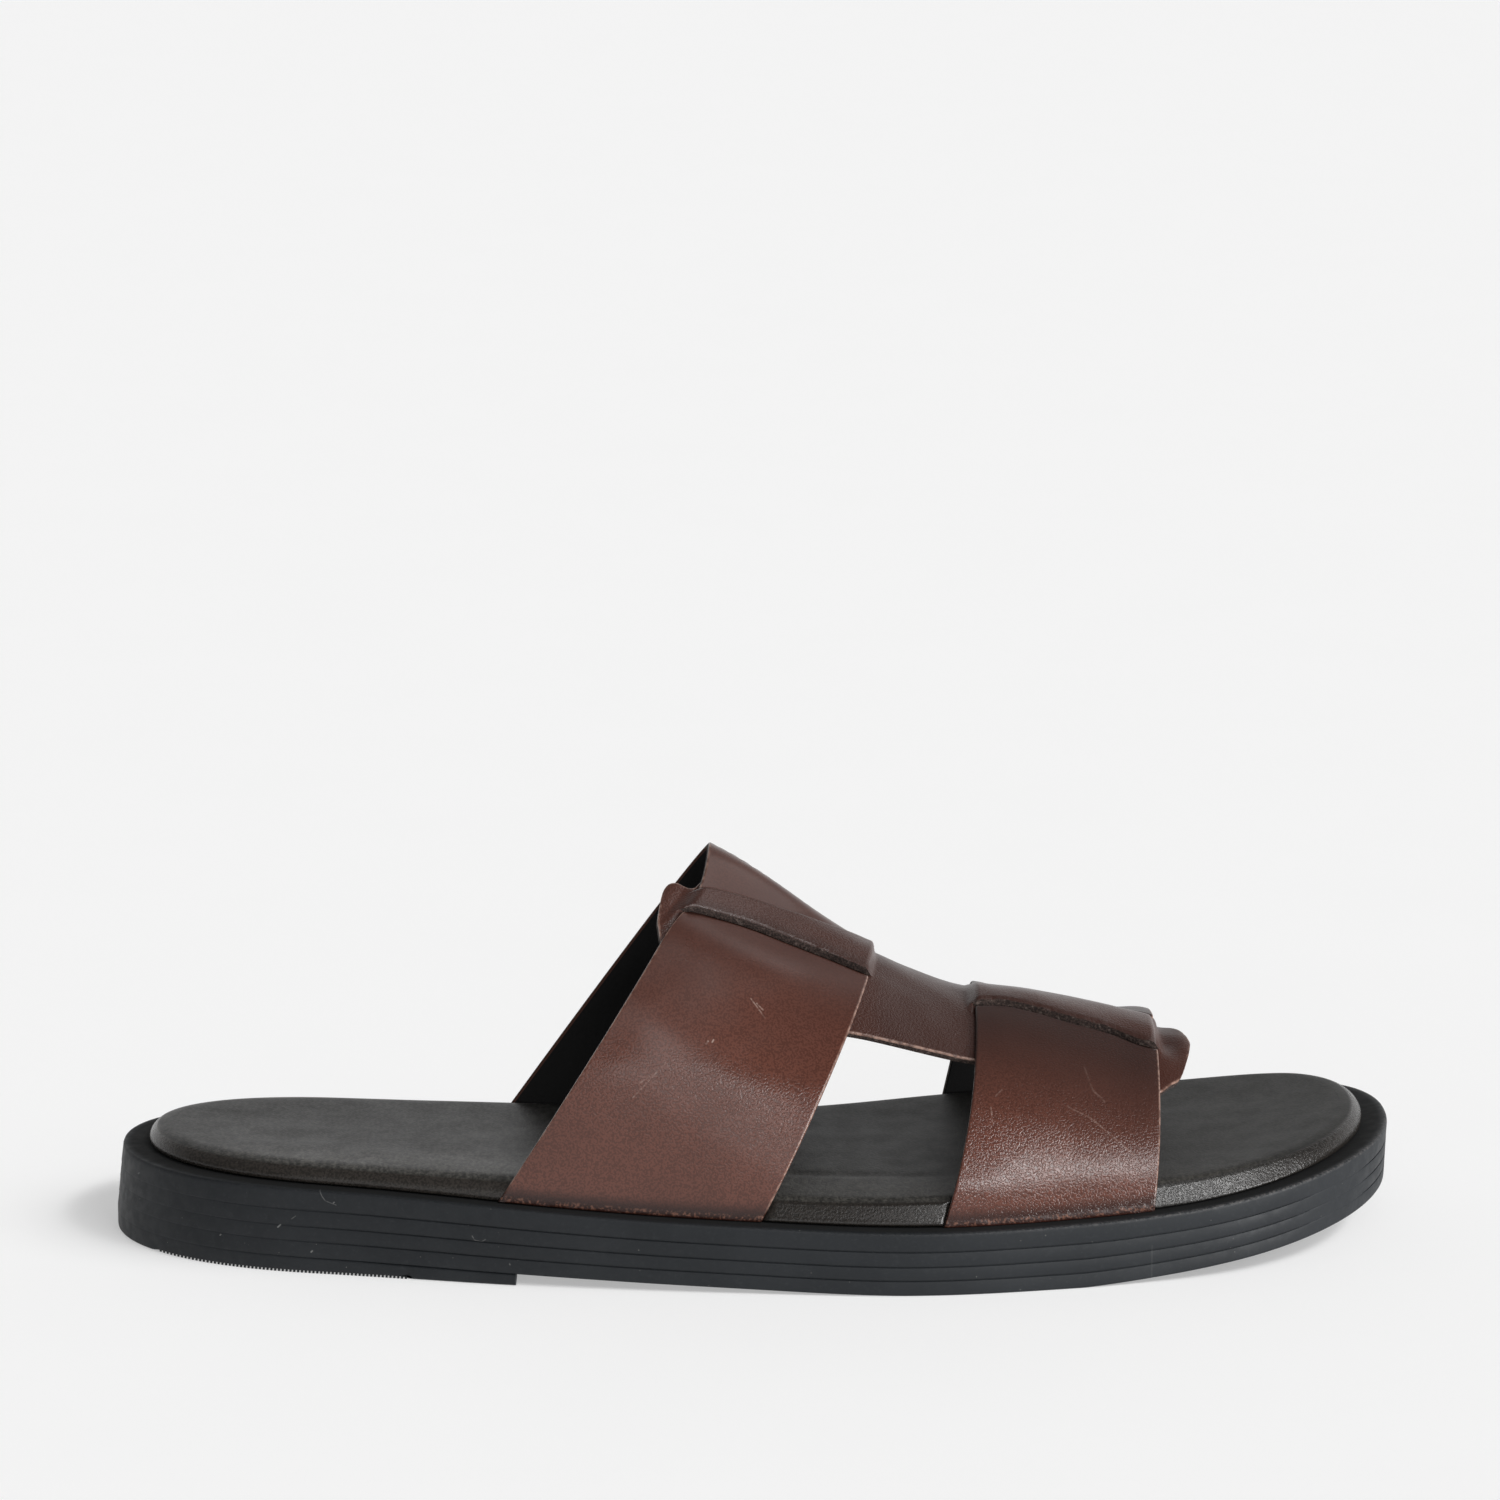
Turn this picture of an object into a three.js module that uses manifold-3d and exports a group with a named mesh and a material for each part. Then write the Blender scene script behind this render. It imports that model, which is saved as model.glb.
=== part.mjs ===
import * as THREE from "three";
import Module from "manifold-3d";

const wasm = await Module();
wasm.setup();

// A right-foot leather slide: two wide bands woven through a centre strap, on a padded footbed
// and a moulded rubber sole. Millimetres, heel at -X, toe at +X, outer side at -Y, floor at Z = 0.

const LENGTH = 288;
const HALF_LENGTH = LENGTH / 2;

// Outline of the sole from above: distance from the heel, middle of the width, half the width.
const PLAN = [
  { at: 0, middle: 6.2, half: 34.9 },
  { at: 45, middle: -0.1, half: 36 },
  { at: 95, middle: -7.7, half: 39.8 },
  { at: 140, middle: -9.1, half: 44.3 },
  { at: 185, middle: -3.6, half: 51.6 },
  { at: 215, middle: 2.2, half: 52.2 },
  { at: 245, middle: 6.4, half: 49.4 },
  { at: 288, middle: 15, half: 51.8 },
];
const HEEL_ROUND = { reach: 48.1, power: 2.2 };
const TOE_ROUND = { reach: 52.9, power: 2.14 };
const STATIONS = 48;

// Height of the rim that carries the footbed: high at the heel, low at the ball, rising to the toe.
const RIM = [
  { at: 0, z: 19.4 },
  { at: 70, z: 18.1 },
  { at: 130, z: 15.4 },
  { at: 190, z: 14.1 },
  { at: 240, z: 16 },
  { at: 288, z: 23 },
];

// Underside of the slab: it stands on the ball, arches at the shank and springs up at the toe.
const UNDERSIDE = [
  { at: 0, z: 4.2 },
  { at: 90, z: 2.6 },
  { at: 130, z: 1.4 },
  { at: 175, z: 0 },
  { at: 215, z: 0 },
  { at: 250, z: 3.4 },
  { at: 288, z: 9.8 },
];

// How far the side leans out at its foot, from the flared heel to the drawn-in toe.
const LEAN = [
  { at: 0, out: 1.5 },
  { at: 90, out: 0.4 },
  { at: 200, out: 0 },
  { at: 288, out: -0.5 },
];
const HEEL_BREAST = 90.5;
const LIFT_STATIONS = 26;
const LIFT_OVERLAP = 1;
const EDGE_CHAMFER = 0.6;

// Grooves around the side, as shares of the slab's height below the rim.
const GROOVES = [0.3, 0.54, 0.76];
const GROOVE_DEPTH = 0.6;
const GROOVE_HALF = 0.035;

// Footbed: its height above the rim and how far it draws in at the ends, and the rings of its
// cushion, from the underside over the rolled edge to the dished middle.
const FOOTBED_GAP = 0.3;
const FOOTBED_FORM = [
  { at: 0, rise: 4, draw: 1.7 },
  { at: 60, rise: 4.1, draw: 0 },
  { at: 105, rise: 5.3, draw: 0 },
  { at: 150, rise: 4.9, draw: 0 },
  { at: 200, rise: 5.9, draw: 0 },
  { at: 245, rise: 5, draw: 0.2 },
  { at: 288, rise: 4, draw: 1.5 },
];
const CUSHION = [
  { inset: 5.4, share: 0 },
  { inset: 4.6, share: 0.18 },
  { inset: 4.6, share: 0.42 },
  { inset: 5.4, share: 0.68 },
  { inset: 7, share: 0.9 },
  { inset: 9.4, share: 1 },
  { inset: 15, share: 0.97 },
  { inset: 24, share: 0.9 },
];

// Last under the upper: arches from the outer edge of the sole over the instep to the inner edge.
// at is the arch's place at the crest, outerX and innerX are its feet.
const ARCHES = [
  { at: -24, outerX: -72, innerX: -76, crestY: 0, crestZ: 79 },
  { at: -14, outerX: -60, innerX: -62.8, crestY: 13.4, crestZ: 85.5 },
  { at: -12, outerX: -57, innerX: -59.5, crestY: 13, crestZ: 84.2 },
  { at: 25.5, outerX: 0.5, innerX: 2, crestY: 5, crestZ: 60.9 },
  { at: 48.5, outerX: 40, innerX: 43, crestY: 4, crestZ: 52 },
  { at: 89, outerX: 86.4, innerX: 86, crestY: 4, crestZ: 45.4 },
  { at: 98, outerX: 95, innerX: 94, crestY: 3, crestZ: 41 },
];

// Roundness of the arches on each side, how far they sweep forward on the way up, and the saddle
// that the strap's pull dents into the outer slope.
const FULLNESS = [
  { at: -24, outer: 1.9, inner: 2.2, sweep: 1, saddle: 1 },
  { at: -12, outer: 1.85, inner: 2.2, sweep: 1, saddle: 3.4 },
  { at: 25.5, outer: 1.65, inner: 2.1, sweep: 1, saddle: 0 },
  { at: 48.5, outer: 1.6, inner: 2, sweep: 1.6, saddle: 0 },
  { at: 98, outer: 1.6, inner: 1.9, sweep: 1.6, saddle: 0 },
];
const SADDLE = { middle: -3, half: 15 };
const REAR_BAND = { from: -12, to: 25.5, rows: 8 };
const FRONT_BAND = { from: 48.5, to: 89, rows: 8 };
const ARCH_SEARCH = 30;
const ARCH_STEPS = 30;
const TUCK = 6;
const SEAT_GAP = 0.5;
const WALL = 1.8;

// Centre strap: places across it, at a place along the shoe. The slits that the bands dive
// through part a middle ridge from the two margins.
const STRAP = [
  { at: -24, outerEdge: -24, outerSlit: -12, innerSlit: -2, innerEdge: 3 },
  { at: -12, outerEdge: -24, outerSlit: -12, innerSlit: -1.5, innerEdge: 8.5 },
  { at: 25.5, outerEdge: -23, outerSlit: -12, innerSlit: 1, innerEdge: 18 },
  { at: 48.5, outerEdge: -23, outerSlit: -9.5, innerSlit: 5, innerEdge: 20 },
  { at: 98, outerEdge: -20, outerSlit: -10, innerSlit: 5, innerEdge: 19 },
];
const STRAP_ENDS = { rear: -22.2, front: 97, round: 9, power: 2.4 };
const STRAP_ROWS = 44;
const STRAP_WALL = 1.7;
const STRAP_SINK = 0.1;
const RIDGE_RAISE = 1.3;
const BAND_LIFT = 1.1;
const BAND_DIVE = 0.4;
const SLIT_RUN = 1.4;
const RIDGE_RUN = 4;

// The bands' pockets in the footbed's edge.
const POCKET = { inner: 0.35, outer: 4, ends: 0.35, drop: 2 };

// Smooth curve through one column of a table, by its at column.
function curve(rows, key) {
  const slopes = rows.slice(1).map((row, i) => (row[key] - rows[i][key]) / (row.at - rows[i].at));
  const tangents = rows.map((row, i) => {
    if (i === 0) return slopes[0];
    if (i === rows.length - 1) return slopes[i - 1];
    const before = row.at - rows[i - 1].at;
    const after = rows[i + 1].at - row.at;
    return (slopes[i - 1] * after + slopes[i] * before) / (before + after);
  });
  return (at) => {
    let i = 0;
    while (i < rows.length - 2 && at > rows[i + 1].at) i += 1;
    const span = rows[i + 1].at - rows[i].at;
    const t = (at - rows[i].at) / span;
    const rest = 1 - t;
    const start = rest * rest * (rows[i][key] * (1 + 2 * t) + tangents[i] * span * t);
    const end = t * t * (rows[i + 1][key] * (1 + 2 * rest) - tangents[i + 1] * span * rest);
    return start + end;
  };
}

function columns(rows) {
  const keys = Object.keys(rows[0]).filter((key) => key !== "at");
  return Object.fromEntries(keys.map((key) => [key, curve(rows, key)]));
}

const plan = columns(PLAN);
const rim = curve(RIM, "z");
const underside = curve(UNDERSIDE, "z");
const lean = curve(LEAN, "out");
const footbedForm = columns(FOOTBED_FORM);
const arch = columns(ARCHES);
const fullness = columns(FULLNESS);
const strap = columns(STRAP);

function smooth(from, to, value) {
  return THREE.MathUtils.smoothstep(value, from, to);
}

// Roundness of an end: 0 at the tip, 1 from the reach inwards.
function endCap(distance, { reach, power }) {
  const left = THREE.MathUtils.clamp(1 - distance / reach, 0, 1);
  return (1 - left ** power) ** (1 / power);
}

function outlineY(at, side) {
  const half = plan.half(at) * endCap(at, HEEL_ROUND) * endCap(LENGTH - at, TOE_ROUND);
  return plan.middle(at) + side * half;
}

// Closed loop of the outline between two distances from the heel, anticlockwise from above,
// with close stations at both ends. A blunt loop has two corners at its front instead of a tip.
function outlineLoop(to, stations, blunt) {
  const places = Array.from({ length: stations + 1 }, (_, i) => {
    const turn = (blunt ? Math.PI / 2 : Math.PI) * (i / stations);
    return blunt ? to * (1 - Math.cos(turn)) : (to / 2) * (1 - Math.cos(turn));
  });
  const inner = blunt ? places : places.slice(0, -1);
  const outerSide = places.map((at) => ({ at, side: -1 }));
  const innerSide = inner.slice(1).reverse().map((at) => ({ at, side: 1 }));
  const place = ({ at, side }) => ({ at, x: at - HALF_LENGTH, y: outlineY(at, side) });
  return [...outerSide, ...innerSide].map(place);
}

// Inward normal of the loop at each of its points. The front of a blunt loop stays in its plane.
function inwardNormals(loop, blunt) {
  return loop.map((point, i) => {
    const last = loop[(i + loop.length - 1) % loop.length];
    const next = loop[(i + 1) % loop.length];
    const across = blunt && next.at === point.at;
    const back = blunt && last.at === point.at;
    const along = new THREE.Vector2(
      (across ? point : next).x - (back ? point : last).x,
      (across ? point : next).y - (back ? point : last).y,
    ).normalize();
    return across || back ? new THREE.Vector2(0, Math.sign(along.x)) : new THREE.Vector2(-along.y, along.x);
  });
}

function ring(loop, normals, insetAt, heightAt) {
  return loop.map((point, i) => {
    const inset = insetAt(point.at);
    const x = point.x + normals[i].x * inset;
    const at = THREE.MathUtils.clamp(x + HALF_LENGTH, 0, LENGTH);
    return new THREE.Vector3(x, point.y + normals[i].y * inset, heightAt(at));
  });
}

function toManifold(points, triangles) {
  const mesh = new wasm.Mesh({
    numProp: 3,
    vertProperties: Float32Array.from(points.flatMap((point) => point.toArray())),
    triVerts: Uint32Array.from(triangles.flat()),
  });
  return new wasm.Manifold(mesh);
}

// Solid from rings stacked upwards, closed below and above by strips across the loop.
function stackRings(rings, stations) {
  const count = rings[0].length;
  const triangles = [];
  for (let row = 0; row < rings.length - 1; row += 1) {
    for (let i = 0; i < count; i += 1) {
      const a = row * count + i;
      const b = row * count + ((i + 1) % count);
      triangles.push([a, b, b + count], [a, b + count, a + count]);
    }
  }
  const top = (rings.length - 1) * count;
  for (let i = 0; i < stations; i += 1) {
    const outer = [i, i + 1];
    const inner = [(count - i) % count, count - i - 1];
    if (inner[0] !== outer[0]) {
      triangles.push([inner[0], outer[1], outer[0]]);
      triangles.push([top + outer[0], top + outer[1], top + inner[0]]);
    }
    if (inner[1] !== outer[1]) {
      triangles.push([inner[0], inner[1], outer[1]]);
      triangles.push([top + outer[1], top + inner[1], top + inner[0]]);
    }
  }
  return toManifold(rings.flat(), triangles);
}

// Sole slab: a lower edge, a side with grooves, and the flat rim on top.
function buildSlab() {
  const loop = outlineLoop(LENGTH, STATIONS, false);
  const normals = inwardNormals(loop, false);
  const foot = (at) => Math.max(0, underside(at));
  const level = (share) => (at) => THREE.MathUtils.lerp(foot(at), rim(at), share);
  const side = (share, depth) => (at) => depth - lean(at) * (1 - share);
  const profile = [{ share: 0, depth: EDGE_CHAMFER }, { share: GROOVE_HALF, depth: 0 }];
  [...GROOVES].reverse().forEach((below) => {
    profile.push({ share: 1 - below - GROOVE_HALF, depth: 0 });
    profile.push({ share: 1 - below, depth: GROOVE_DEPTH });
    profile.push({ share: 1 - below + GROOVE_HALF, depth: 0 });
  });
  profile.push({ share: 1 - GROOVE_HALF, depth: 0 }, { share: 1, depth: EDGE_CHAMFER });
  const rings = profile.map(({ share, depth }) => ring(loop, normals, side(share, depth), level(share)));
  return stackRings(rings, STATIONS);
}

// Heel lift: the step under the back of the slab that stands on the floor.
function buildHeelLift() {
  const loop = outlineLoop(HEEL_BREAST, LIFT_STATIONS, true);
  const normals = inwardNormals(loop, true);
  const top = (at) => underside(at) + LIFT_OVERLAP;
  const flush = (at) => -lean(at);
  const profile = [
    { inset: (at) => EDGE_CHAMFER + flush(at), height: () => 0 },
    { inset: flush, height: () => EDGE_CHAMFER },
    { inset: flush, height: (at) => underside(at) - EDGE_CHAMFER / 2 },
    { inset: (at) => EDGE_CHAMFER + flush(at), height: underside },
    { inset: (at) => EDGE_CHAMFER * 2 + flush(at), height: top },
  ];
  const rings = profile.map(({ inset, height }) => ring(loop, normals, inset, height));
  return stackRings(rings, LIFT_STATIONS);
}

function buildFootbed() {
  const loop = outlineLoop(LENGTH, STATIONS, false);
  const normals = inwardNormals(loop, false);
  const rings = CUSHION.map(({ inset, share }) => {
    const height = (at) => rim(at) + FOOTBED_GAP + footbedForm.rise(at) * share;
    return ring(loop, normals, (at) => inset + footbedForm.draw(at), height);
  });
  return stackRings(rings, STATIONS);
}

// Foot of an arch on the sole, on the outer (-1) or inner (1) side.
function archFoot(at, side) {
  const hand = side < 0 ? -1 : 1;
  const x = hand < 0 ? arch.outerX(at) : arch.innerX(at);
  const fromHeel = x + HALF_LENGTH;
  const y = outlineY(fromHeel, hand) - hand * TUCK;
  return new THREE.Vector3(x, y, rim(fromHeel) + SEAT_GAP);
}

// Point of the last: side runs from -1 at the outer foot over 0 at the crest to 1 at the inner foot.
function lastPoint(at, side) {
  const foot = archFoot(at, side);
  const power = side < 0 ? fullness.outer(at) : fullness.inner(at);
  const turn = (Math.abs(side) * Math.PI) / 2;
  const out = Math.sin(turn) ** (2 / power);
  const up = Math.max(0, Math.cos(turn)) ** (2 / power);
  const forward = 1 - (1 - up) ** fullness.sweep(at);
  const y = THREE.MathUtils.lerp(arch.crestY(at), foot.y, out);
  const saddleShare = Math.max(0, 1 - ((y - SADDLE.middle) / SADDLE.half) ** 2) ** 2;
  const dent = Math.max(0, fullness.saddle(at)) * saddleShare;
  return new THREE.Vector3(
    THREE.MathUtils.lerp(foot.x, at, forward),
    y,
    THREE.MathUtils.lerp(foot.z, arch.crestZ(at), up) - dent,
  );
}

// Side value of the point of an arch with a given y.
function sideOf(at, y) {
  const side = Math.sign(y - arch.crestY(at)) || 1;
  const power = side < 0 ? fullness.outer(at) : fullness.inner(at);
  const reach = (y - arch.crestY(at)) / (archFoot(at, side).y - arch.crestY(at));
  return (side * Math.asin(Math.min(1, reach) ** (power / 2))) / (Math.PI / 2);
}

// Arch whose point with a given y lies at a given x.
function archThrough(x, y) {
  let low = ARCHES[0].at - ARCH_SEARCH;
  let high = ARCHES[ARCHES.length - 1].at + ARCH_SEARCH;
  for (let i = 0; i < ARCH_STEPS; i += 1) {
    const at = (low + high) / 2;
    if (lastPoint(at, sideOf(at, y)).x < x) low = at;
    else high = at;
  }
  return (low + high) / 2;
}

function lastNormal(at, side) {
  const step = 0.01;
  const held = THREE.MathUtils.clamp(side, step - 1, 1 - step);
  const along = lastPoint(at + step, held).sub(lastPoint(at - step, held));
  const across = lastPoint(at, held + step).sub(lastPoint(at, held - step));
  return along.cross(across).normalize();
}

function offLast(at, side, offset) {
  return lastPoint(at, side).addScaledVector(lastNormal(at, side), offset);
}

// Solid sheet between an outer and an inner grid of points with the same rows and columns.
function sheet(outer, inner) {
  const rows = outer.length;
  const cols = outer[0].length;
  const under = rows * cols;
  const triangles = [];
  const quad = (a, b, c, d) => triangles.push([a, b, c], [a, c, d]);
  for (let r = 0; r < rows - 1; r += 1) {
    for (let c = 0; c < cols - 1; c += 1) {
      const a = r * cols + c;
      quad(a, a + cols, a + cols + 1, a + 1);
      quad(under + a, under + a + 1, under + a + cols + 1, under + a + cols);
    }
  }
  for (let r = 0; r < rows - 1; r += 1) {
    const first = r * cols;
    const last = first + cols - 1;
    quad(first, under + first, under + first + cols, first + cols);
    quad(last, last + cols, under + last + cols, under + last);
  }
  for (let c = 0; c < cols - 1; c += 1) {
    const far = (rows - 1) * cols + c;
    quad(c, c + 1, under + c + 1, under + c);
    quad(far, under + far, under + far + 1, far + 1);
  }
  return toManifold([...outer.flat(), ...inner.flat()], triangles);
}

function spread(from, to, count) {
  return Array.from({ length: count }, (_, i) => THREE.MathUtils.lerp(from, to, i / count));
}

// Columns of a band: from the outer foot to the strap, across the strap, and on to the inner foot.
const FLANK_COLUMNS = 9;
const CROSSING_COLUMNS = 2;
function bandSides(at) {
  const lines = [strap.outerEdge, strap.outerSlit, strap.innerSlit, strap.innerEdge];
  const marks = lines.flatMap((line) => {
    const x = lastPoint(at, sideOf(at, line(at))).x;
    return [line(x) - SLIT_RUN, line(x) + SLIT_RUN];
  });
  const across = marks.slice(0, -1).flatMap((mark, i) => spread(mark, marks[i + 1], CROSSING_COLUMNS));
  const sides = across.map((y) => sideOf(at, y));
  const end = sideOf(at, marks[marks.length - 1]);
  return [...spread(-1, sides[0], FLANK_COLUMNS), ...sides, ...spread(end, 1, FLANK_COLUMNS), 1];
}

// Extra height of a band's face: more over the strap's margins, less under its ridge.
function bandLift({ x, y }) {
  const step = (mark) => smooth(mark(x) - SLIT_RUN, mark(x) + SLIT_RUN, y);
  const crossing = step(strap.outerEdge) - step(strap.innerEdge);
  const ridge = step(strap.outerSlit) - step(strap.innerSlit);
  return BAND_LIFT * crossing - (BAND_LIFT + BAND_DIVE) * ridge;
}

function buildBand({ from, to, rows }) {
  const places = [...spread(from, to, rows), to];
  const grid = (heightOf) => places.map((at) => bandSides(at).map((side) => {
    const height = heightOf(lastPoint(at, side));
    return offLast(at, side, height);
  }));
  return sheet(grid((point) => WALL + bandLift(point)), grid(() => 0));
}

// Cutter for the pockets: the band's foot, wider all round and reaching below the footbed.
function buildPocket({ from, to, rows }) {
  const places = [...spread(from - POCKET.ends, to + POCKET.ends, rows), to + POCKET.ends];
  const lowered = (point) => point.clone().setZ(point.z - POCKET.drop);
  const grid = (offset) => places.map((at) => {
    const points = bandSides(at).map((side) => offLast(at, side, offset));
    return [lowered(points[0]), ...points, lowered(points[points.length - 1])];
  });
  return sheet(grid(POCKET.outer), grid(-POCKET.inner));
}

// How far the strap's ridge is out above a band at a place along the shoe.
function ridgeShare(at) {
  return [REAR_BAND, FRONT_BAND].reduce((most, { from, to }) => {
    const share = smooth(from - RIDGE_RUN, from, at) - smooth(to, to + RIDGE_RUN, at);
    return Math.max(most, share);
  }, 0);
}

function buildStrap() {
  const { rear, front, round, power } = STRAP_ENDS;
  const places = Array.from({ length: STRAP_ROWS + 1 }, (_, i) => {
    const share = i / STRAP_ROWS;
    const eased = (1 - Math.cos(Math.PI * share)) / 2;
    return THREE.MathUtils.lerp(rear, front, (share + eased) / 2);
  });
  const grid = (base, raise) => places.map((x) => {
    const fromEnd = Math.min(x - rear, front - x);
    const left = THREE.MathUtils.clamp(1 - fromEnd / round, 0, 1);
    const trim = round * (1 - (1 - left ** power) ** (1 / power));
    const outerEdge = strap.outerEdge(x) + trim;
    const innerEdge = strap.innerEdge(x) - trim;
    const marks = [
      outerEdge,
      strap.outerSlit(x) - SLIT_RUN,
      strap.outerSlit(x) + SLIT_RUN,
      strap.innerSlit(x) - SLIT_RUN,
      strap.innerSlit(x) + SLIT_RUN,
      innerEdge,
    ];
    const across = marks.slice(0, -1).flatMap((mark, i) => spread(mark, marks[i + 1], CROSSING_COLUMNS));
    return [...across, innerEdge].map((y) => {
      const at = archThrough(x, y);
      const step = (mark) => smooth(mark(x) - SLIT_RUN, mark(x) + SLIT_RUN, y);
      const ridge = step(strap.outerSlit) - step(strap.innerSlit);
      return offLast(at, sideOf(at, y), base + raise * ridge * ridgeShare(at));
    });
  });
  return sheet(grid(STRAP_WALL - STRAP_SINK, RIDGE_RAISE), grid(-STRAP_SINK, 0));
}

function toMesh(name, solid, material) {
  const { vertProperties, triVerts, numProp } = solid.getMesh();
  const positions = new Float32Array((vertProperties.length / numProp) * 3);
  for (let i = 0; i < positions.length / 3; i += 1) {
    positions.set(vertProperties.subarray(i * numProp, i * numProp + 3), i * 3);
  }
  const geometry = new THREE.BufferGeometry();
  geometry.setAttribute("position", new THREE.BufferAttribute(positions, 3));
  geometry.setIndex(new THREE.BufferAttribute(Uint32Array.from(triVerts), 1));
  geometry.computeVertexNormals();
  const mesh = new THREE.Mesh(geometry, new THREE.MeshStandardMaterial(material));
  mesh.name = name;
  return mesh;
}

const outsole = buildSlab().add(buildHeelLift());
const pockets = buildPocket(REAR_BAND).add(buildPocket(FRONT_BAND));
const footbed = buildFootbed().subtract(pockets);
const upper = buildBand(REAR_BAND).add(buildBand(FRONT_BAND)).add(buildStrap());

const slide = new THREE.Group();
slide.add(
  toMesh("outsole", outsole, { color: 0x24262a, roughness: 0.7, metalness: 0 }),
  toMesh("footbed", footbed, { color: 0x2f2d2b, roughness: 0.6, metalness: 0 }),
  toMesh("upper", upper, { color: 0x4a2f28, roughness: 0.5, metalness: 0 }),
);

// The origin is on the floor, in the middle of the slide's box.
const box = new THREE.Box3().setFromObject(slide);
const middle = box.getCenter(new THREE.Vector3());
slide.position.set(-middle.x, -middle.y, -box.min.z);

export default slide;
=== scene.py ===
import math

import bmesh
import bpy
import numpy as np
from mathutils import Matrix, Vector


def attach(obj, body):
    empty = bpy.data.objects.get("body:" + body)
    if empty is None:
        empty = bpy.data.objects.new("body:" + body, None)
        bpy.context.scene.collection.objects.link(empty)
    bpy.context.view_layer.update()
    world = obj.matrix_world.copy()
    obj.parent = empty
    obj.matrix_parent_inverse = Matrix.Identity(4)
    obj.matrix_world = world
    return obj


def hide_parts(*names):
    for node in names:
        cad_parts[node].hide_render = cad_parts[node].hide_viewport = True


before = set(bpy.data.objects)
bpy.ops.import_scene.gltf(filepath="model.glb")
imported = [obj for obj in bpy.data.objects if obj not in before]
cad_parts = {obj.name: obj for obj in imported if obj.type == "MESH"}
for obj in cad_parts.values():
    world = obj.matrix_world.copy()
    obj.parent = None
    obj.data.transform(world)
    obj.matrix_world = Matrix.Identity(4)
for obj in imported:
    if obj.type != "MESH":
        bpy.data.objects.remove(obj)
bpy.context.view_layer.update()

# A right-foot leather slide. Lengths are millimetres in the tables and become metres in the meshes.
# The tables give the same last, sole and strap as the solids, whose box is centred on the origin.
SCENE = bpy.context.scene
MM = 0.001
ORIGIN = np.array([0.74, 0.25, 0.0])
LENGTH = 288.0
HALF_LENGTH = LENGTH / 2


def curve(at, value):
    """Smooth curve through the points of one column."""
    slope = np.diff(value) / np.diff(at)
    tangent = np.empty_like(value)
    tangent[0], tangent[-1] = slope[0], slope[-1]
    before, after = np.diff(at)[:-1], np.diff(at)[1:]
    tangent[1:-1] = (slope[:-1] * after + slope[1:] * before) / (before + after)

    def evaluate(place):
        place = np.asarray(place, float)
        i = np.clip(np.searchsorted(at, place) - 1, 0, len(at) - 2)
        span = at[i + 1] - at[i]
        t = (place - at[i]) / span
        rest = 1 - t
        start = rest**2 * (value[i] * (1 + 2 * t) + tangent[i] * span * t)
        end = t**2 * (value[i + 1] * (1 + 2 * rest) - tangent[i + 1] * span * rest)
        return start + end

    return evaluate


def table(names, *rows):
    """Curves by name, one for each column after the first."""
    columns = np.array(rows, float).T
    return {name: curve(columns[0], column) for name, column in zip(names.split()[1:], columns[1:])}


def through(*points):
    """Curve through points, each a place and a value."""
    return curve(*np.array(points, float).T)


# Sole, by the distance from the heel.
PLAN = table(
    "at middle half",
    (0, 6.2, 34.9), (45, -0.1, 36), (95, -7.7, 39.8), (140, -9.1, 44.3),
    (185, -3.6, 51.6), (215, 2.2, 52.2), (245, 6.4, 49.4), (288, 15, 51.8),
)
HEEL_ROUND, TOE_ROUND = (48.1, 2.2), (52.9, 2.14)
RIM = through((0, 19.4), (70, 18.1), (130, 15.4), (190, 14.1), (240, 16), (288, 23))
UNDERSIDE = through((0, 4.2), (90, 2.6), (130, 1.4), (175, 0), (215, 0), (250, 3.4), (288, 9.8))
LEAN = through((0, 1.5), (90, 0.4), (200, 0), (288, -0.5))
FOOTBED = table(
    "at rise draw",
    (0, 4, 1.7), (60, 4.1, 0), (105, 5.3, 0), (150, 4.9, 0), (200, 5.9, 0), (245, 5, 0.2), (288, 4, 1.5),
)
HEEL_BREAST = 90.5
FOOTBED_GAP = 0.3

# Last and strap, by the place along the shoe.
ARCH = table(
    "at outer_x inner_x crest_y",
    (-24, -72, -76, 0), (-14, -60, -62.8, 13.4), (-12, -57, -59.5, 13),
    (25.5, 0.5, 2, 5), (48.5, 40, 43, 4), (89, 86.4, 86, 4), (98, 95, 94, 3),
)
ARCH["crest_z"] = through(
    (-24, 79), (-14, 85.5), (-12, 84.2), (25.5, 60.9), (48.5, 52), (56, 51.1), (68.6, 48.9),
    (80.7, 46.4), (89, 44.9), (98, 41),
)
FULLNESS = table(
    "at outer inner sweep saddle",
    (-24, 1.9, 2.2, 1, 1), (-12, 1.85, 2.2, 1, 3.4), (25.5, 1.65, 2.1, 1, 0),
    (48.5, 1.6, 2, 1.6, 0), (98, 1.6, 1.9, 1.6, 0),
)
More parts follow.
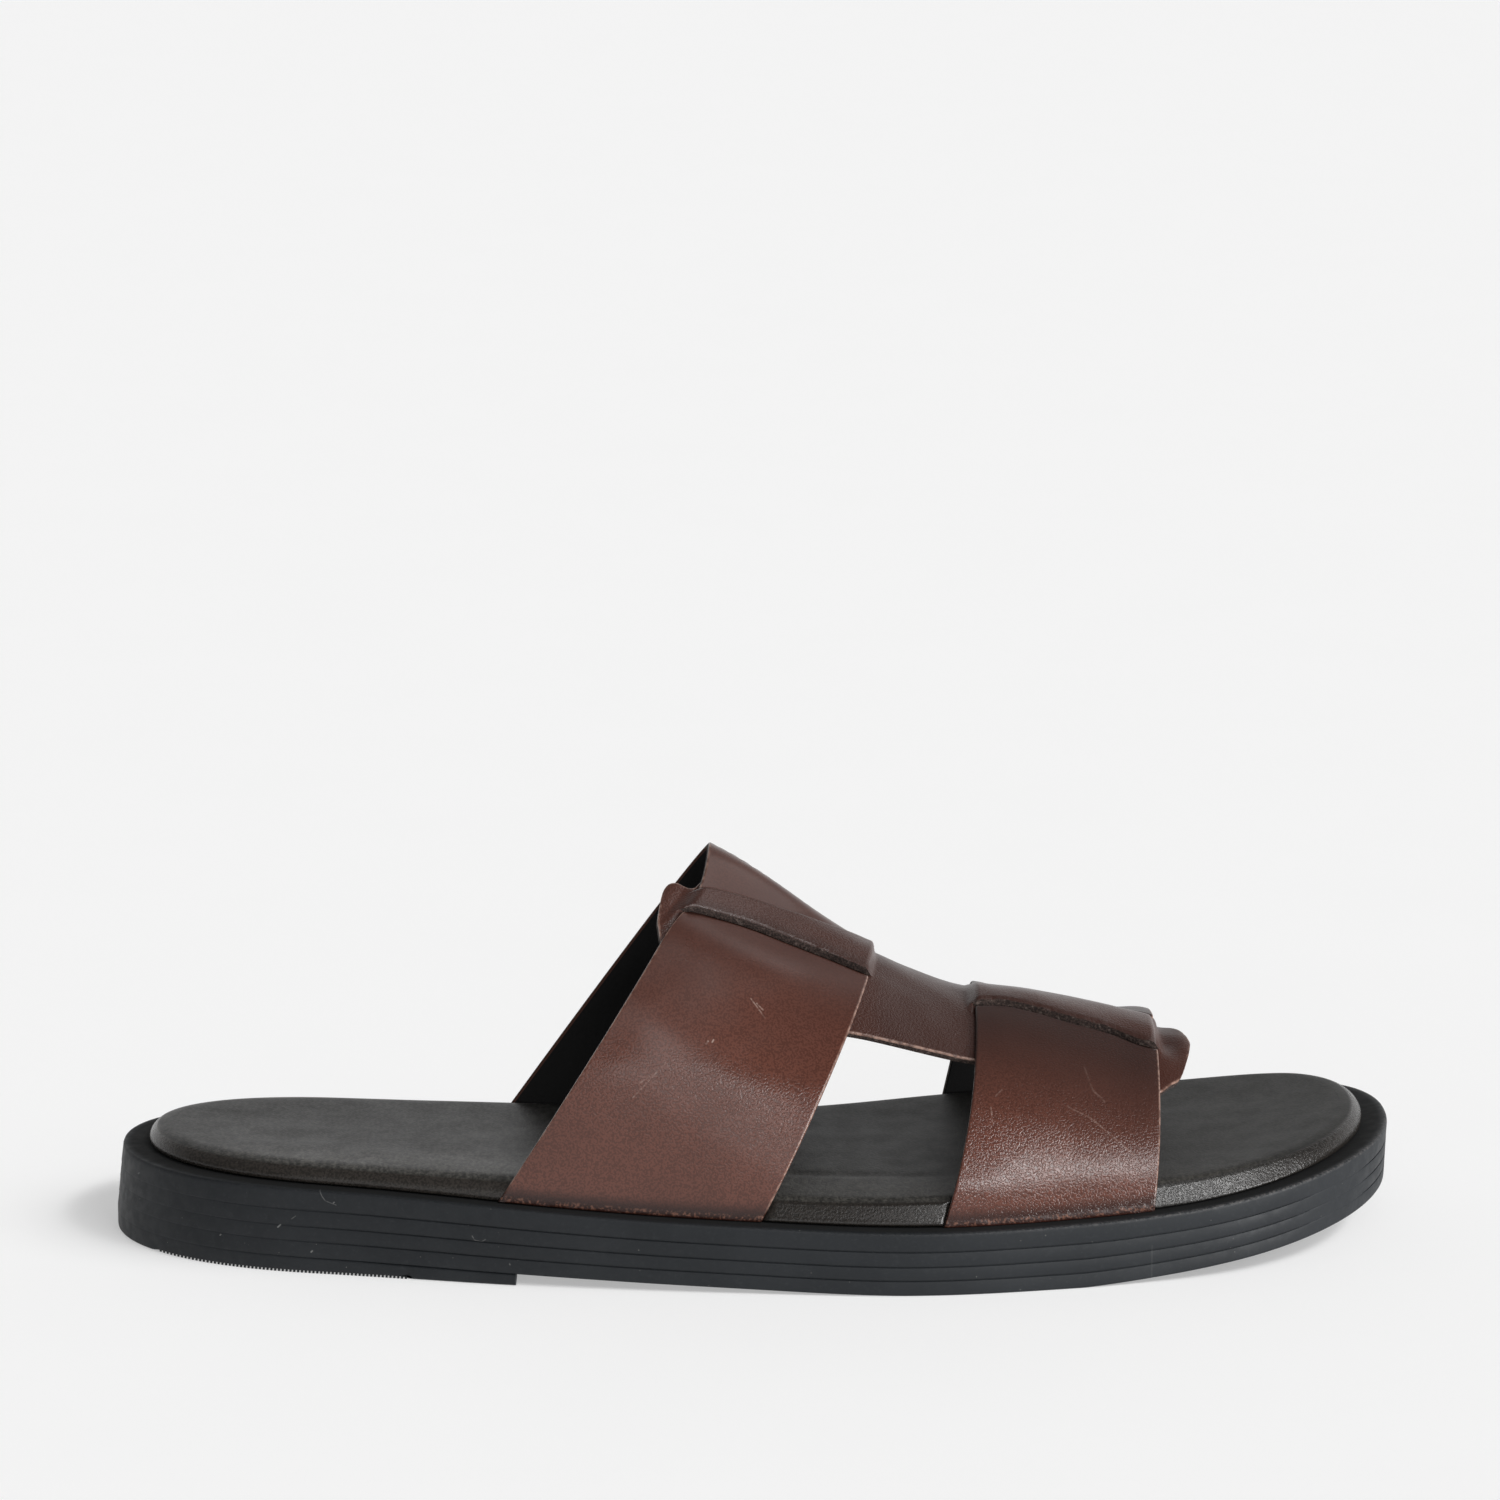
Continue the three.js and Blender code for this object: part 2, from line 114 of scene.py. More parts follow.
STRAP = {
    "outer_edge": through(
        (-22.7, -14), (-22.2, -16.8), (-21.3, -18.4), (-19, -20.7), (-15, -23), (-11, -24),
        (25.5, -23), (48.5, -22.8), (84, -22.8), (89.2, -22.2), (91.4, -19.5), (94.1, -15.7),
        (95.4, -10.9), (96.6, -4.9), (97.2, -0.2),
    ),
    "outer_slit": through(
        (-22.7, -13), (-16.3, -8.8), (-10.3, -6.7), (-1.7, -4.9), (6.8, -5), (15.5, -5.6),
        (24, -6.4), (36, -5.6), (46.9, -4.6), (54.4, -2.9), (61.5, -3.5), (68.2, -4.9), (78.7, -6.4),
        (88.3, -9.2), (97.2, -4),
    ),
    "inner_slit": through(
        (-22.7, -12), (-15.1, -2.8), (-6.3, 1.3), (0, 2.7), (10.9, 4.8), (24.7, 7), (48.5, 8.5),
        (89, 4.5), (97.2, 1),
    ),
    "inner_edge": through(
        (-22.7, -14), (-22.2, -10.2), (-21.3, -5.8), (-20.3, -3.4), (-19, -2.3), (-17, -2.3),
        (-15.4, -2.1), (-13.8, 0.5), (-11, 5), (0, 12), (25.5, 18), (48.5, 20), (84, 19.5),
        (89.2, 18), (91.5, 15.5), (94, 11.5), (95.4, 8), (96.6, 4), (97.2, -0.2),
    ),
}
# Where the bands cross the strap: its margins run on evenly under them.
OUTER_MARGIN = -23.5
INNER_MARGIN = through((-17, 8), (0, 13), (25.5, 18), (48.5, 20), (90, 19))
WEAVE_FROM, WEAVE_TO = -16.3, 89.0
SADDLE_MIDDLE, SADDLE_HALF = -3.0, 15.0
REAR_BAND = (-12.0, 25.5)
FRONT_BAND = (48.5, 89.0)
TUCK = 6.0
STRAP_REAR, STRAP_FRONT = -22.7, 97.2
# The rear band's far shoulder stands fuller between its edges.
SHOULDER_RISE, SHOULDER_FROM, SHOULDER_TO = 1.2, 4.0, 13.0


def smooth(start, end, value):
    """0 up to the start and 1 from the end on, with a soft step between."""
    t = np.clip((value - start) / (end - start), 0, 1)
    return t * t * (3 - 2 * t)


def lerp(a, b, t):
    return a + (b - a) * t


RIPPLES, PITCH_SPREAD = 12, (0.7, 1.4)


def ripple(points, wave, seed, stretch=(1, 1, 1)):
    """Seeded waves in all directions, about one unit high."""
    rng = np.random.default_rng(seed)
    total = 0
    for _ in range(RIPPLES):
        heading = rng.normal(size=3)
        heading /= np.linalg.norm(heading)
        phase = rng.uniform(0, 2 * math.pi)
        pitch = wave * rng.uniform(*PITCH_SPREAD)
        total = total + np.sin(2 * math.pi * ((points / np.array(stretch)) @ heading) / pitch + phase)
    return total / math.sqrt(RIPPLES / 2)


# ---------- last

def end_cap(distance, reach, power):
    left = np.clip(1 - distance / reach, 0, 1)
    return (1 - left**power) ** (1 / power)


def outline_y(at, side):
    half = PLAN["half"](at) * end_cap(at, *HEEL_ROUND) * end_cap(LENGTH - at, *TOE_ROUND)
    return PLAN["middle"](at) + side * half


SEAT = 0.1
ARCH_RANGE, HALVINGS = (-54.0, 128.0), 34


def arch_foot(at, side):
    """Where an arch ends, under the footbed on the given side."""
    hand = np.where(side < 0, -1.0, 1.0)
    x = np.where(side < 0, ARCH["outer_x"](at), ARCH["inner_x"](at))
    return x, outline_y(x + HALF_LENGTH, hand) - hand * TUCK, RIM(x + HALF_LENGTH) + SEAT


def last_point(at, side):
    """Point of an arch, from its outer foot at side -1 over the crest at 0 to its inner foot at 1."""
    foot_x, foot_y, foot_z = arch_foot(at, side)
    power = np.where(side < 0, FULLNESS["outer"](at), FULLNESS["inner"](at))
    turn = np.abs(side) * math.pi / 2
    out = np.sin(turn) ** (2 / power)
    up = np.maximum(0, np.cos(turn)) ** (2 / power)
    forward = 1 - (1 - up) ** FULLNESS["sweep"](at)
    y = lerp(ARCH["crest_y"](at), foot_y, out)
    saddle = np.maximum(0, 1 - ((y - SADDLE_MIDDLE) / SADDLE_HALF) ** 2) ** 2
    z = lerp(foot_z, ARCH["crest_z"](at), up) - np.maximum(0, FULLNESS["saddle"](at)) * saddle
    share = np.clip((at - REAR_BAND[0]) / (REAR_BAND[1] - REAR_BAND[0]), 0, 1)
    z = z + SHOULDER_RISE * np.sin(math.pi * share) * smooth(SHOULDER_FROM, SHOULDER_TO, y) * up
    return np.stack(np.broadcast_arrays(lerp(foot_x, at, forward), y, z), -1)


def side_of(at, y):
    """The side value of an arch's point that lies at y."""
    crest = ARCH["crest_y"](at)
    hand = np.where(y < crest, -1.0, 1.0)
    power = np.where(hand < 0, FULLNESS["outer"](at), FULLNESS["inner"](at))
    reach = np.clip((y - crest) / (arch_foot(at, hand)[1] - crest), 0, 1)
    return hand * np.arcsin(reach ** (power / 2)) / (math.pi / 2)


def arch_through(x, y):
    """The arch that passes through a place in plan, found by halving."""
    low = np.full(np.broadcast(x, y).shape, ARCH_RANGE[0])
    high = np.full_like(low, ARCH_RANGE[1])
    for _ in range(HALVINGS):
        at = (low + high) / 2
        short = last_point(at, side_of(at, y))[..., 0] < x
        low, high = np.where(short, at, low), np.where(short, high, at)
    return (low + high) / 2


def last_normal(at, side):
    step = 0.01
    held = np.clip(side, step - 1, 1 - step)
    along = last_point(at + step, held) - last_point(at - step, held)
    across = last_point(at, held + step) - last_point(at, held - step)
    normal = np.cross(along, across)
    return normal / np.linalg.norm(normal, axis=-1, keepdims=True)


# ---------- meshes

def grid_quads(first, rows, cols, flip=False):
    a = first + (np.arange(rows - 1)[:, None] * cols + np.arange(cols - 1)[None, :]).ravel()
    quads = np.stack([a, a + cols, a + cols + 1, a + 1], -1)
    return quads[:, ::-1] if flip else quads


def wall_quads(one, other):
    return np.stack([one[:-1], other[:-1], other[1:], one[1:]], -1)


def sheet_quads(rows, cols, offset=0):
    """Faces of a sheet of two like grids: top, underside, walls of its end rows and of its sides."""
    count = rows * cols
    top = offset + np.arange(count).reshape(rows, cols)
    low = top + count
    ends = [wall_quads(top[0], low[0]), wall_quads(low[-1], top[-1])]
    sides = [wall_quads(low[:, 0], top[:, 0]), wall_quads(top[:, -1], low[:, -1])]
    return grid_quads(offset, rows, cols), grid_quads(offset + count, rows, cols, flip=True), ends, sides


WELD, FINE_WELD = 0.004, 0.0002
SMALL_HOLE = 3


def distance_to(points, border, chunk=50):
    """Distance in plan from each point to the nearest of the border's points."""
    gap = np.full(points.shape[:-1], np.inf)
    for start in range(0, len(border), chunk):
        delta = points[..., None, :2] - border[start:start + chunk]
        gap = np.minimum(gap, np.sqrt((delta**2).sum(-1)).min(-1))
    return gap


def add_object(name, data):
    added = bpy.data.objects.new(name, data)
    SCENE.collection.objects.link(added)
    return added


def make_piece(name, points, groups, materials, weld=WELD, sharp=None, **attributes):
    """One object from points in millimetres and groups of faces, one group for each material."""
    mesh = bpy.data.meshes.new(name)
    faces = np.concatenate(groups)
    mesh.from_pydata(((points + ORIGIN) * MM).tolist(), [], faces.tolist())
    for material in materials:
        mesh.materials.append(material)
    which = np.repeat(np.arange(len(groups), dtype=np.int32), [len(group) for group in groups])
    mesh.polygons.foreach_set("material_index", which)
    for key, values in attributes.items():
        layer = mesh.attributes.new(key, "FLOAT", "POINT")
        layer.data.foreach_set("value", np.asarray(values, np.float32).ravel())
    tidy = bmesh.new()
    tidy.from_mesh(mesh)
    bmesh.ops.remove_doubles(tidy, verts=tidy.verts, dist=weld * MM)
    bmesh.ops.dissolve_degenerate(tidy, edges=tidy.edges, dist=weld * MM / 4)
    rim = [edge for edge in tidy.edges if edge.is_boundary]
    bmesh.ops.holes_fill(tidy, edges=rim, sides=SMALL_HOLE)
    bmesh.ops.recalc_face_normals(tidy, faces=tidy.faces)
    for face in tidy.faces:
        face.smooth = True
    tidy.to_mesh(mesh)
    tidy.free()
    if sharp:
        mesh.set_sharp_from_angle(angle=math.radians(sharp))
    return add_object(name, mesh)


def finish_piece(piece, node):
    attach(piece, "root")
    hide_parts(node)


# ---------- materials

# The bright core of a scratch's width, and the metres across between which scratches begin to show.
STROKE_CORE, OUTER_SIDE = 0.3, (-0.01, -0.014)


class Nodes:
    """Short ways to add nodes to a tree."""

    def __init__(self, tree):
        self.tree = tree

    def add(self, kind, values=None, **settings):
        node = self.tree.nodes.new(kind)
        for key, value in settings.items():
            setattr(node, key, value)
        for key, value in (values or {}).items():
            self.put(node.inputs[key], value)
        return node

    def put(self, socket, value):
        if isinstance(value, bpy.types.NodeSocket):
            self.tree.links.new(value, socket)
        else:
            socket.default_value = (*value, 1) if socket.type == "RGBA" else value

    def math(self, operation, *values):
        node = self.add("ShaderNodeMath", operation=operation)
        for socket, value in zip(node.inputs, values):
            self.put(socket, value)
        return node.outputs[0]

    def times(self, one, other):
        return self.math("MULTIPLY", one, other)

    def vectors(self, operation, values):
        return self.add("ShaderNodeVectorMath", values, operation=operation)

    def span(self, value, low, high, start=0.0, end=1.0, kind="SMOOTHSTEP"):
        """A value that goes from start to end while the given one goes from low to high."""
        values = {"Value": value, "From Min": low, "From Max": high, "To Min": start, "To Max": end}
        return self.add("ShaderNodeMapRange", values, interpolation_type=kind).outputs["Result"]


class Shader(Nodes):
    """A material with a Principled shader. Sizes of its patterns are millimetres."""

    def __init__(self, name, **constants):
        self.material = bpy.data.materials.new(name)
        self.material.use_nodes = True
        super().__init__(self.material.node_tree)
        self.surface = self.tree.nodes["Principled BSDF"]
        for key, value in constants.items():
            self.surface.inputs[key.replace("_", " ")].default_value = value
        self.place = self.add("ShaderNodeTexCoord").outputs["Object"]

    def mix(self, factor, one, other, blend="MIX"):
        node = self.add("ShaderNodeMix", data_type="RGBA", blend_type=blend)
        self.put(node.inputs[0], factor)
        self.put(node.inputs[6], one)
        self.put(node.inputs[7], other)
        return node.outputs[2]

    def tint(self, mask, colour, blend="MIX"):
        self.colour = self.mix(mask, self.colour, colour, blend)

    def stretched(self, scale):
        return self.add("ShaderNodeMapping", {"Vector": self.place, "Scale": scale}).outputs[0]

    def noise(self, size, detail=2.0, vector=None, roughness=0.5):
        values = {"Vector": vector or self.place, "Scale": 1 / (size * MM)}
        values.update({"Detail": detail, "Roughness": roughness})
        return self.add("ShaderNodeTexNoise", values).outputs["Fac"]

    def pebbles(self, size, detail):
        """Leather grain, and how far the darker gaps between its pebbles show."""
        grain = self.span(self.noise(size, detail), 0.36, 0.62)
        return grain, self.span(grain, 0.9, 0.1, 0.0, 0.5)

    def cells(self, size, output):
        values = {"Vector": self.place, "Scale": 1 / (size * MM)}
        return self.add("ShaderNodeTexVoronoi", values, feature="F1").outputs[output]

    def axes(self):
        return self.add("ShaderNodeSeparateXYZ", {"Vector": self.place}).outputs

    def attribute(self, name):
        return self.add("ShaderNodeAttribute", attribute_name=name).outputs["Fac"]

    def scratches(self, strokes):
        """Thin strokes on the outer side, each from one place to another as seen from that side."""
        x, y, z = self.axes()
        flat = self.add("ShaderNodeCombineXYZ", {"X": x, "Z": z}).outputs[0]
        total = 0.0
        for x0, z0, x1, z1, width, strength in strokes:
            start, run = Vector((x0, 0, z0)) * MM, Vector((x1 - x0, 0, z1 - z0)) * MM
            away = self.vectors("SUBTRACT", {0: flat, 1: start}).outputs[0]
            share = self.vectors("DOT_PRODUCT", {0: away, 1: run / run.length_squared}).outputs["Value"]
            held = self.add("ShaderNodeMath", {0: share, 1: 1.0}, operation="MULTIPLY", use_clamp=True)
            near = self.vectors("SCALE", {0: run, "Scale": held.outputs[0]}).outputs[0]
            gap = self.vectors("DISTANCE", {0: away, 1: near}).outputs["Value"]
            mark = self.span(gap, width * MM, width * MM * STROKE_CORE, 0.0, strength)
            total = self.math("MAXIMUM", total, mark)
        return self.times(total, self.span(y, *OUTER_SIDE))

    def bump(self, height, strength, distance, under=None):
        values = {"Height": height, "Strength": strength, "Distance": distance * MM}
        if under:
            values["Normal"] = under
        return self.add("ShaderNodeBump", values).outputs[0]

    def done(self, roughness, normal):
        self.put(self.surface.inputs["Base Color"], self.colour)
        self.put(self.surface.inputs["Roughness"], roughness)
        self.put(self.surface.inputs["Normal"], normal)
        return self.material


# Scratches that show on the outer side: two ends (along, up) in millimetres, width and strength.
SCRATCHES = (
    (-1.0, 59.3, 2.1, 55.5, 0.2, 0.5), (0.3, 58.3, 1.7, 57.0, 0.2, 0.6),
    (-10.9, 51.2, -10.5, 51.7, 0.28, 0.8), (-9.6, 51.5, -9.3, 51.9, 0.26, 0.8),
    (-27.0, 40.7, -19.9, 47.7, 0.22, 0.3), (-25.4, 43.7, -22.9, 45.3, 0.2, 0.22),
    (73.1, 42.8, 74.7, 38.9, 0.26, 0.12), (74.7, 38.9, 77.2, 36.9, 0.26, 0.18),
    (68.9, 36.5, 74.0, 34.2, 0.22, 0.15), (74.0, 34.2, 83.1, 27.2, 0.24, 0.24),
    (51.7, 37.3, 51.9, 34.7, 0.22, 0.35), (52.9, 39.2, 54.3, 40.2, 0.22, 0.25),
)


BROWN = (0.101, 0.0362, 0.0247), (0.115, 0.0413, 0.0283)
# Of the browns below, the darkest are painted shade at the slits and feet, and painted contact shadow at
# the seams.
BROWN_GAP, SHADE_BROWN = (0.04, 0.0138, 0.0094), (0.028, 0.011, 0.008)
SCRATCHED, RUBBED = (0.36, 0.255, 0.215), (0.27, 0.165, 0.13)
SHADOW_BROWN, CRUMB = (0.019, 0.0052, 0.0032), (0.19, 0.085, 0.055)
LEATHER_GLOSS, BURNISHED_MATTE, CRUMB_MATTE = (0.155, 0.18), 0.22, 0.3


def strap_leather(name, specular):
    s = Shader(name, IOR=1.45, Specular_IOR_Level=specular)
    s.colour = s.mix(s.span(s.noise(14, 3), 0.35, 0.65), *BROWN)
    # Painted shade: darker towards the slits, under the ridge's near lip, between the bands and on the
    # tabs.
    s.tint(s.attribute("burnish"), SHADE_BROWN)
    pebble, gaps = s.pebbles(0.48, 1)
    s.tint(gaps, BROWN_GAP)
    broken = s.span(s.noise(0.8, 3), 0.38, 0.6, 0.2, 1.0)
    s.tint(s.times(s.scratches(SCRATCHES), broken), SCRATCHED)
    # Cut edges are rubbed lighter. Feet and seams are darkened with painted shade and a painted contact
    # shadow, and feet have a rough light line.
    patchy = s.span(s.noise(1.6, 3), 0.38, 0.62, 0.25, 1.0)
    worn = s.times(s.span(s.attribute("edge"), 0.6, 0.12), patchy)
    s.tint(worn, RUBBED)
    s.tint(s.attribute("burnt"), SHADOW_BROWN)
    foot = s.attribute("foot")
    line = s.times(s.span(foot, 1.7, 0.9), s.span(foot, 0.1, 0.6))
    crumbs = s.times(line, s.span(s.noise(0.7, 3), 0.5, 0.66, 0.0, 0.8))
    s.tint(crumbs, CRUMB)
    # The same mask that paints the shade also makes the leather duller.
    sheen = s.span(s.noise(6, 3), 0.3, 0.7, *LEATHER_GLOSS)
    roughness = s.math("MULTIPLY_ADD", s.attribute("burnish"), BURNISHED_MATTE, sheen)
    roughness = s.math("ADD", roughness, s.times(line, CRUMB_MATTE))
    normal = s.bump(s.noise(11, 2), 0.05, 0.4)
    normal = s.bump(pebble, s.attribute("grain"), 0.045, normal)
    return s.done(roughness, normal)


LINING_BLACK = (0.0022, 0.0022, 0.0023), (0.0065, 0.0062, 0.006)
TURNED_EDGE = (0.06, 0.025, 0.018)


def lining():
    s = Shader("black_lining", Specular_IOR_Level=0.25, Sheen_Weight=0.04, Sheen_Roughness=0.6)
    fibre = s.noise(0.5, 4, s.stretched((1.0, 2.2, 1.0)))
    s.colour = s.mix(s.span(fibre, 0.4, 0.75), *LINING_BLACK)
    s.tint(s.span(s.attribute("edge"), 0.75, 0.5), TURNED_EDGE)
    roughness = s.span(fibre, 0.3, 0.7, 0.85, 0.98)
    return s.done(roughness, s.bump(fibre, 0.4, 0.12))


CUT_FIBRE, CUT_TUFT = ((0.014, 0.0085, 0.007), (0.066, 0.044, 0.037)), (0.26, 0.205, 0.18)
TUFT_SHARE = 0.3


def cut_edge():
    s = Shader("cut_edge", Specular_IOR_Level=0.25, Sheen_Weight=0.05, Sheen_Roughness=0.5)
    fibre = s.noise(0.42, 4, roughness=0.65)
    s.colour = s.mix(s.span(fibre, 0.4, 0.66), *CUT_FIBRE)
    tuft = s.span(s.noise(1.1, 3), 0.56, 0.7)
    s.tint(s.times(tuft, TUFT_SHARE), CUT_TUFT)
    roughness = s.span(fibre, 0.3, 0.7, 0.8, 0.95)
    return s.done(roughness, s.bump(fibre, 0.8, 0.25))


GREY, FORE_SHADE_GREY = ((0.042, 0.0405, 0.0369), (0.0475, 0.0458, 0.0418)), (0.027, 0.0257, 0.023)
GREY_MOTTLE, GREY_GAP = (0.014, 0.0134, 0.0122), (0.008, 0.0076, 0.007)
SHOULDER_SHEEN_GAIN, SHOULDER_SHEEN_SHIFT = (2.1, 2.06, 2.02), 0.011
ROLL_BROWN_HEEL_LIT = (0.036, 0.031, 0.027), (0.0165, 0.0138, 0.0118)
ROLL_HIGHLIGHT = (0.05, 0.0482, 0.0465)
PAD_GLOSS, FORE_MATTE, ROLL_GLOSS = (0.43, 0.48), 0.11, (0.24, 0.28)
PAD_GRAIN, ROLL_GRAIN = 0.35, 0.65


def footbed_leather():
    s = Shader("footbed_leather", IOR=1.45, Specular_IOR_Level=0.46)
    x, y, _ = s.axes()
    s.colour = s.mix(s.span(s.noise(22, 3), 0.3, 0.7), *GREY)
    # Painted sheen and shade: lighter at the heel, darker forward.
    forward = s.span(x, -0.07, 0.06)
    s.tint(forward, FORE_SHADE_GREY)
    mottle = s.span(s.noise(0.9, 2, s.stretched((1.0, 0.4, 1.0))), 0.32, 0.68)
    s.tint(mottle, GREY_MOTTLE)
    # Painted highlight: paler towards the outer edge, where the shoulder catches light. The roll's side
    # is brown, painted lighter at the heel, with a pale stretch at the ball of the foot that is a painted
    # highlight.
    sheen_side = s.math("MULTIPLY_ADD", forward, SHOULDER_SHEEN_SHIFT, y)
    s.tint(s.span(sheen_side, -0.01, -0.026), SHOULDER_SHEEN_GAIN, "MULTIPLY")
    rolled = s.math("ADD", s.attribute("roll"), s.span(forward, 0.1, 0.9, 0.09, 0.03))
    side = s.span(rolled, 0.86, 0.76)
    fore = s.span(x, 0.06, 0.085)
    highlight_stretch = s.times(fore, s.span(x, 0.132, 0.092))
    # Painted light: the roll's brown is lighter at the heel, and its pale stretch is a painted highlight.
    s.tint(side, s.mix(highlight_stretch, s.mix(forward, *ROLL_BROWN_HEEL_LIT), ROLL_HIGHLIGHT))
    pebble, gaps = s.pebbles(0.55, 1.5)
    s.tint(gaps, GREY_GAP)
    # The roll's side is glossier, and coarser at the ball and the toe.
    sheen = s.noise(6, 3)
    roughness = s.math("MULTIPLY_ADD", forward, FORE_MATTE, s.span(sheen, 0.3, 0.7, *PAD_GLOSS))
    glossy = s.span(sheen, 0.3, 0.7, *ROLL_GLOSS)
    roughness = s.add("ShaderNodeMix", {0: side, 2: roughness, 3: glossy}).outputs[0]
    deep = s.math("MULTIPLY_ADD", s.times(side, fore), ROLL_GRAIN, PAD_GRAIN)
    return s.done(roughness, s.bump(pebble, deep, 0.06))


# Hairs and lint on the sole's outer wall, in the same way.
LINT = (
    (-96.1, 18.7, -95.7, 17.7, 0.16, 0.4), (-95.7, 17.7, -94.9, 16.6, 0.16, 0.4),
    (-94.9, 16.6, -92.5, 15.8, 0.16, 0.3), (-62.3, 10.8, -61.8, 9.9, 0.16, 0.5),
    (-61.8, 9.9, -60.2, 9.6, 0.16, 0.6), (-60.2, 9.6, -59.4, 10.2, 0.16, 0.5),
    (-102.5, 12.1, -101.6, 12.8, 0.15, 0.4), (-105.6, 10.0, -105.0, 10.6, 0.22, 0.8),
    (-138.4, 16.0, -138.1, 16.3, 0.2, 0.6), (-98.2, 4.9, -97.9, 5.2, 0.22, 0.8),
    (-118.8, 6.8, -118.6, 7.0, 0.2, 0.6), (-54.1, 5.0, -54.0, 4.8, 0.2, 0.5),
    (-93.1, 16.2, -92.9, 16.4, 0.2, 0.6), (86.8, 8.6, 86.8, 1.1, 0.2, 0.1),
)


BLUE_BLACK = (0.0102, 0.0121, 0.0145), (0.0134, 0.0156, 0.0183)
GRIME, DUST = (0.03, 0.033, 0.036), (0.3, 0.29, 0.27)
LINT_PALE, RIM_SHADE, SCUFF = (0.19, 0.19, 0.185), (0.0075, 0.0078, 0.008), (0.16, 0.15, 0.145)
# Specks of dust: cell size in millimetres, reach in cells, and the share of cells without one.
SPECKS = ((3.2, 0.045, 0.62), (1.7, 0.06, 0.75))
DUST_SHARE, SCUFF_SHARE = 0.6, 0.45


def sole_rubber():
    s = Shader("sole_rubber", IOR=1.5, Specular_IOR_Level=0.3)
    s.colour = s.mix(s.span(s.noise(16, 3), 0.3, 0.7), *BLUE_BLACK)
    grime = s.noise(1.1, 4, roughness=0.7)
    s.tint(s.span(grime, 0.52, 0.75, 0.0, 0.35), GRIME)
    for size, reach, chance in SPECKS:
        near = s.span(s.cells(size, "Distance"), reach, reach * 0.4)
        drawn = s.add("ShaderNodeSeparateColor", {"Color": s.cells(size, "Color")}).outputs[0]
        speck = s.times(near, s.span(drawn, chance, chance + 0.05))
        s.tint(s.times(speck, DUST_SHARE), DUST)
    lint = s.times(s.scratches(LINT), s.span(s.noise(0.7, 2), 0.3, 0.55, 0.45, 1.0))
    s.tint(lint, LINT_PALE)
    # The top of the rim is darker with painted shade, and its corner is scuffed light along the toe.
    rim = s.attribute("rim")
    s.tint(s.span(rim, 0.6, 1.0), RIM_SHADE)
    corner = s.times(s.span(rim, 0.15, 0.5), s.span(rim, 0.9, 0.55))
    scuffed = s.times(corner, s.span(s.axes()["X"], 0.02, 0.11, 0.12, 1.0))
    scuffed = s.times(scuffed, s.span(s.noise(0.7, 4, roughness=0.7), 0.38, 0.66))
    s.tint(s.times(scuffed, SCUFF_SHARE), SCUFF)
    roughness = s.span(s.noise(2.5, 3), 0.3, 0.7, 0.5, 0.62)
    roughness = s.math("ADD", roughness, s.span(rim, 0.6, 1.0, 0.0, 0.3))
    return s.done(roughness, s.bump(s.noise(0.35, 3), 0.16, 0.08))


# The floor glows a little, as a lit sweep does, so that shadows on it stay soft and light.
WHITE, FLOOR_GLOW, FLOOR_PALE = (1, 1, 1), 0.398, 0.6


def pale_floor():
    s = Shader("pale_floor", Specular_IOR_Level=0.0, Roughness=1.0, Emission_Strength=FLOOR_GLOW)
    s.put(s.surface.inputs["Emission Color"], WHITE)
    shades = [[FLOOR_PALE * gain] * 3 for gain in (1, 1.01)]
    s.put(s.surface.inputs["Base Color"], s.mix(s.span(s.noise(60, 2), 0.2, 0.8), *shades))
    return s.material


# The front tab is duller than the rest of the strap.
LEATHER, TAB_LEATHER = strap_leather("strap_leather", 0.55), strap_leather("tab_leather", 0.08)
LINING, CUT = lining(), cut_edge()
FOOTBED_LEATHER, RUBBER = footbed_leather(), sole_rubber()


# ---------- sole and footbed

STATIONS = 400
BREAST_STEP = 0.02


def sole_stations():
    turn = np.linspace(0, math.pi, STATIONS + 1)
    places = (LENGTH / 2) * (1 - np.cos(turn))
    places = places[np.abs(places - HEEL_BREAST) > 0.4]
    return np.sort(np.concatenate([places, [HEEL_BREAST - BREAST_STEP, HEEL_BREAST + BREAST_STEP]]))


PLACES = sole_stations()
LOOP_AT = np.concatenate([PLACES, PLACES[1:-1][::-1]])
LOOP_SIDE = np.concatenate([np.full(len(PLACES), -1.0), np.full(len(PLACES) - 2, 1.0)])
LOOP = np.stack([LOOP_AT - HALF_LENGTH, outline_y(LOOP_AT, LOOP_SIDE)], -1)


def inward_normals():
    along = np.roll(LOOP, -2, 0) - np.roll(LOOP, 2, 0)
    along /= np.linalg.norm(along, axis=1, keepdims=True)
    return np.stack([-along[:, 1], along[:, 0]], -1)


INWARD = inward_normals()


def ring(inset, height):
    """Loop moved in by inset, at a height that depends on the new place along the shoe."""
    flat = LOOP + INWARD * np.asarray(inset)[..., None]
    at = np.clip(flat[:, 0] + HALF_LENGTH, 0, LENGTH)
    return np.column_stack([flat, height(at)])


def loop_quads(rows):
    count = len(LOOP)
    i = np.arange(count)
    quads = []
    for row in range(rows - 1):
        a, b = row * count + i, row * count + (i + 1) % count
        quads.append(np.stack([a, b, b + count, a + count], -1))
    return np.concatenate(quads)


def across_pairs(first):
    """Indices of the facing points of a loop on the outer and inner side, station by station."""
    outer = np.arange(len(PLACES))
    return first + outer, first + (len(LOOP) - outer) % len(LOOP)


def cap_quads(first):
    outer, inner = across_pairs(first)
    return np.stack([outer[:-1], outer[1:], inner[1:], inner[:-1]], -1)


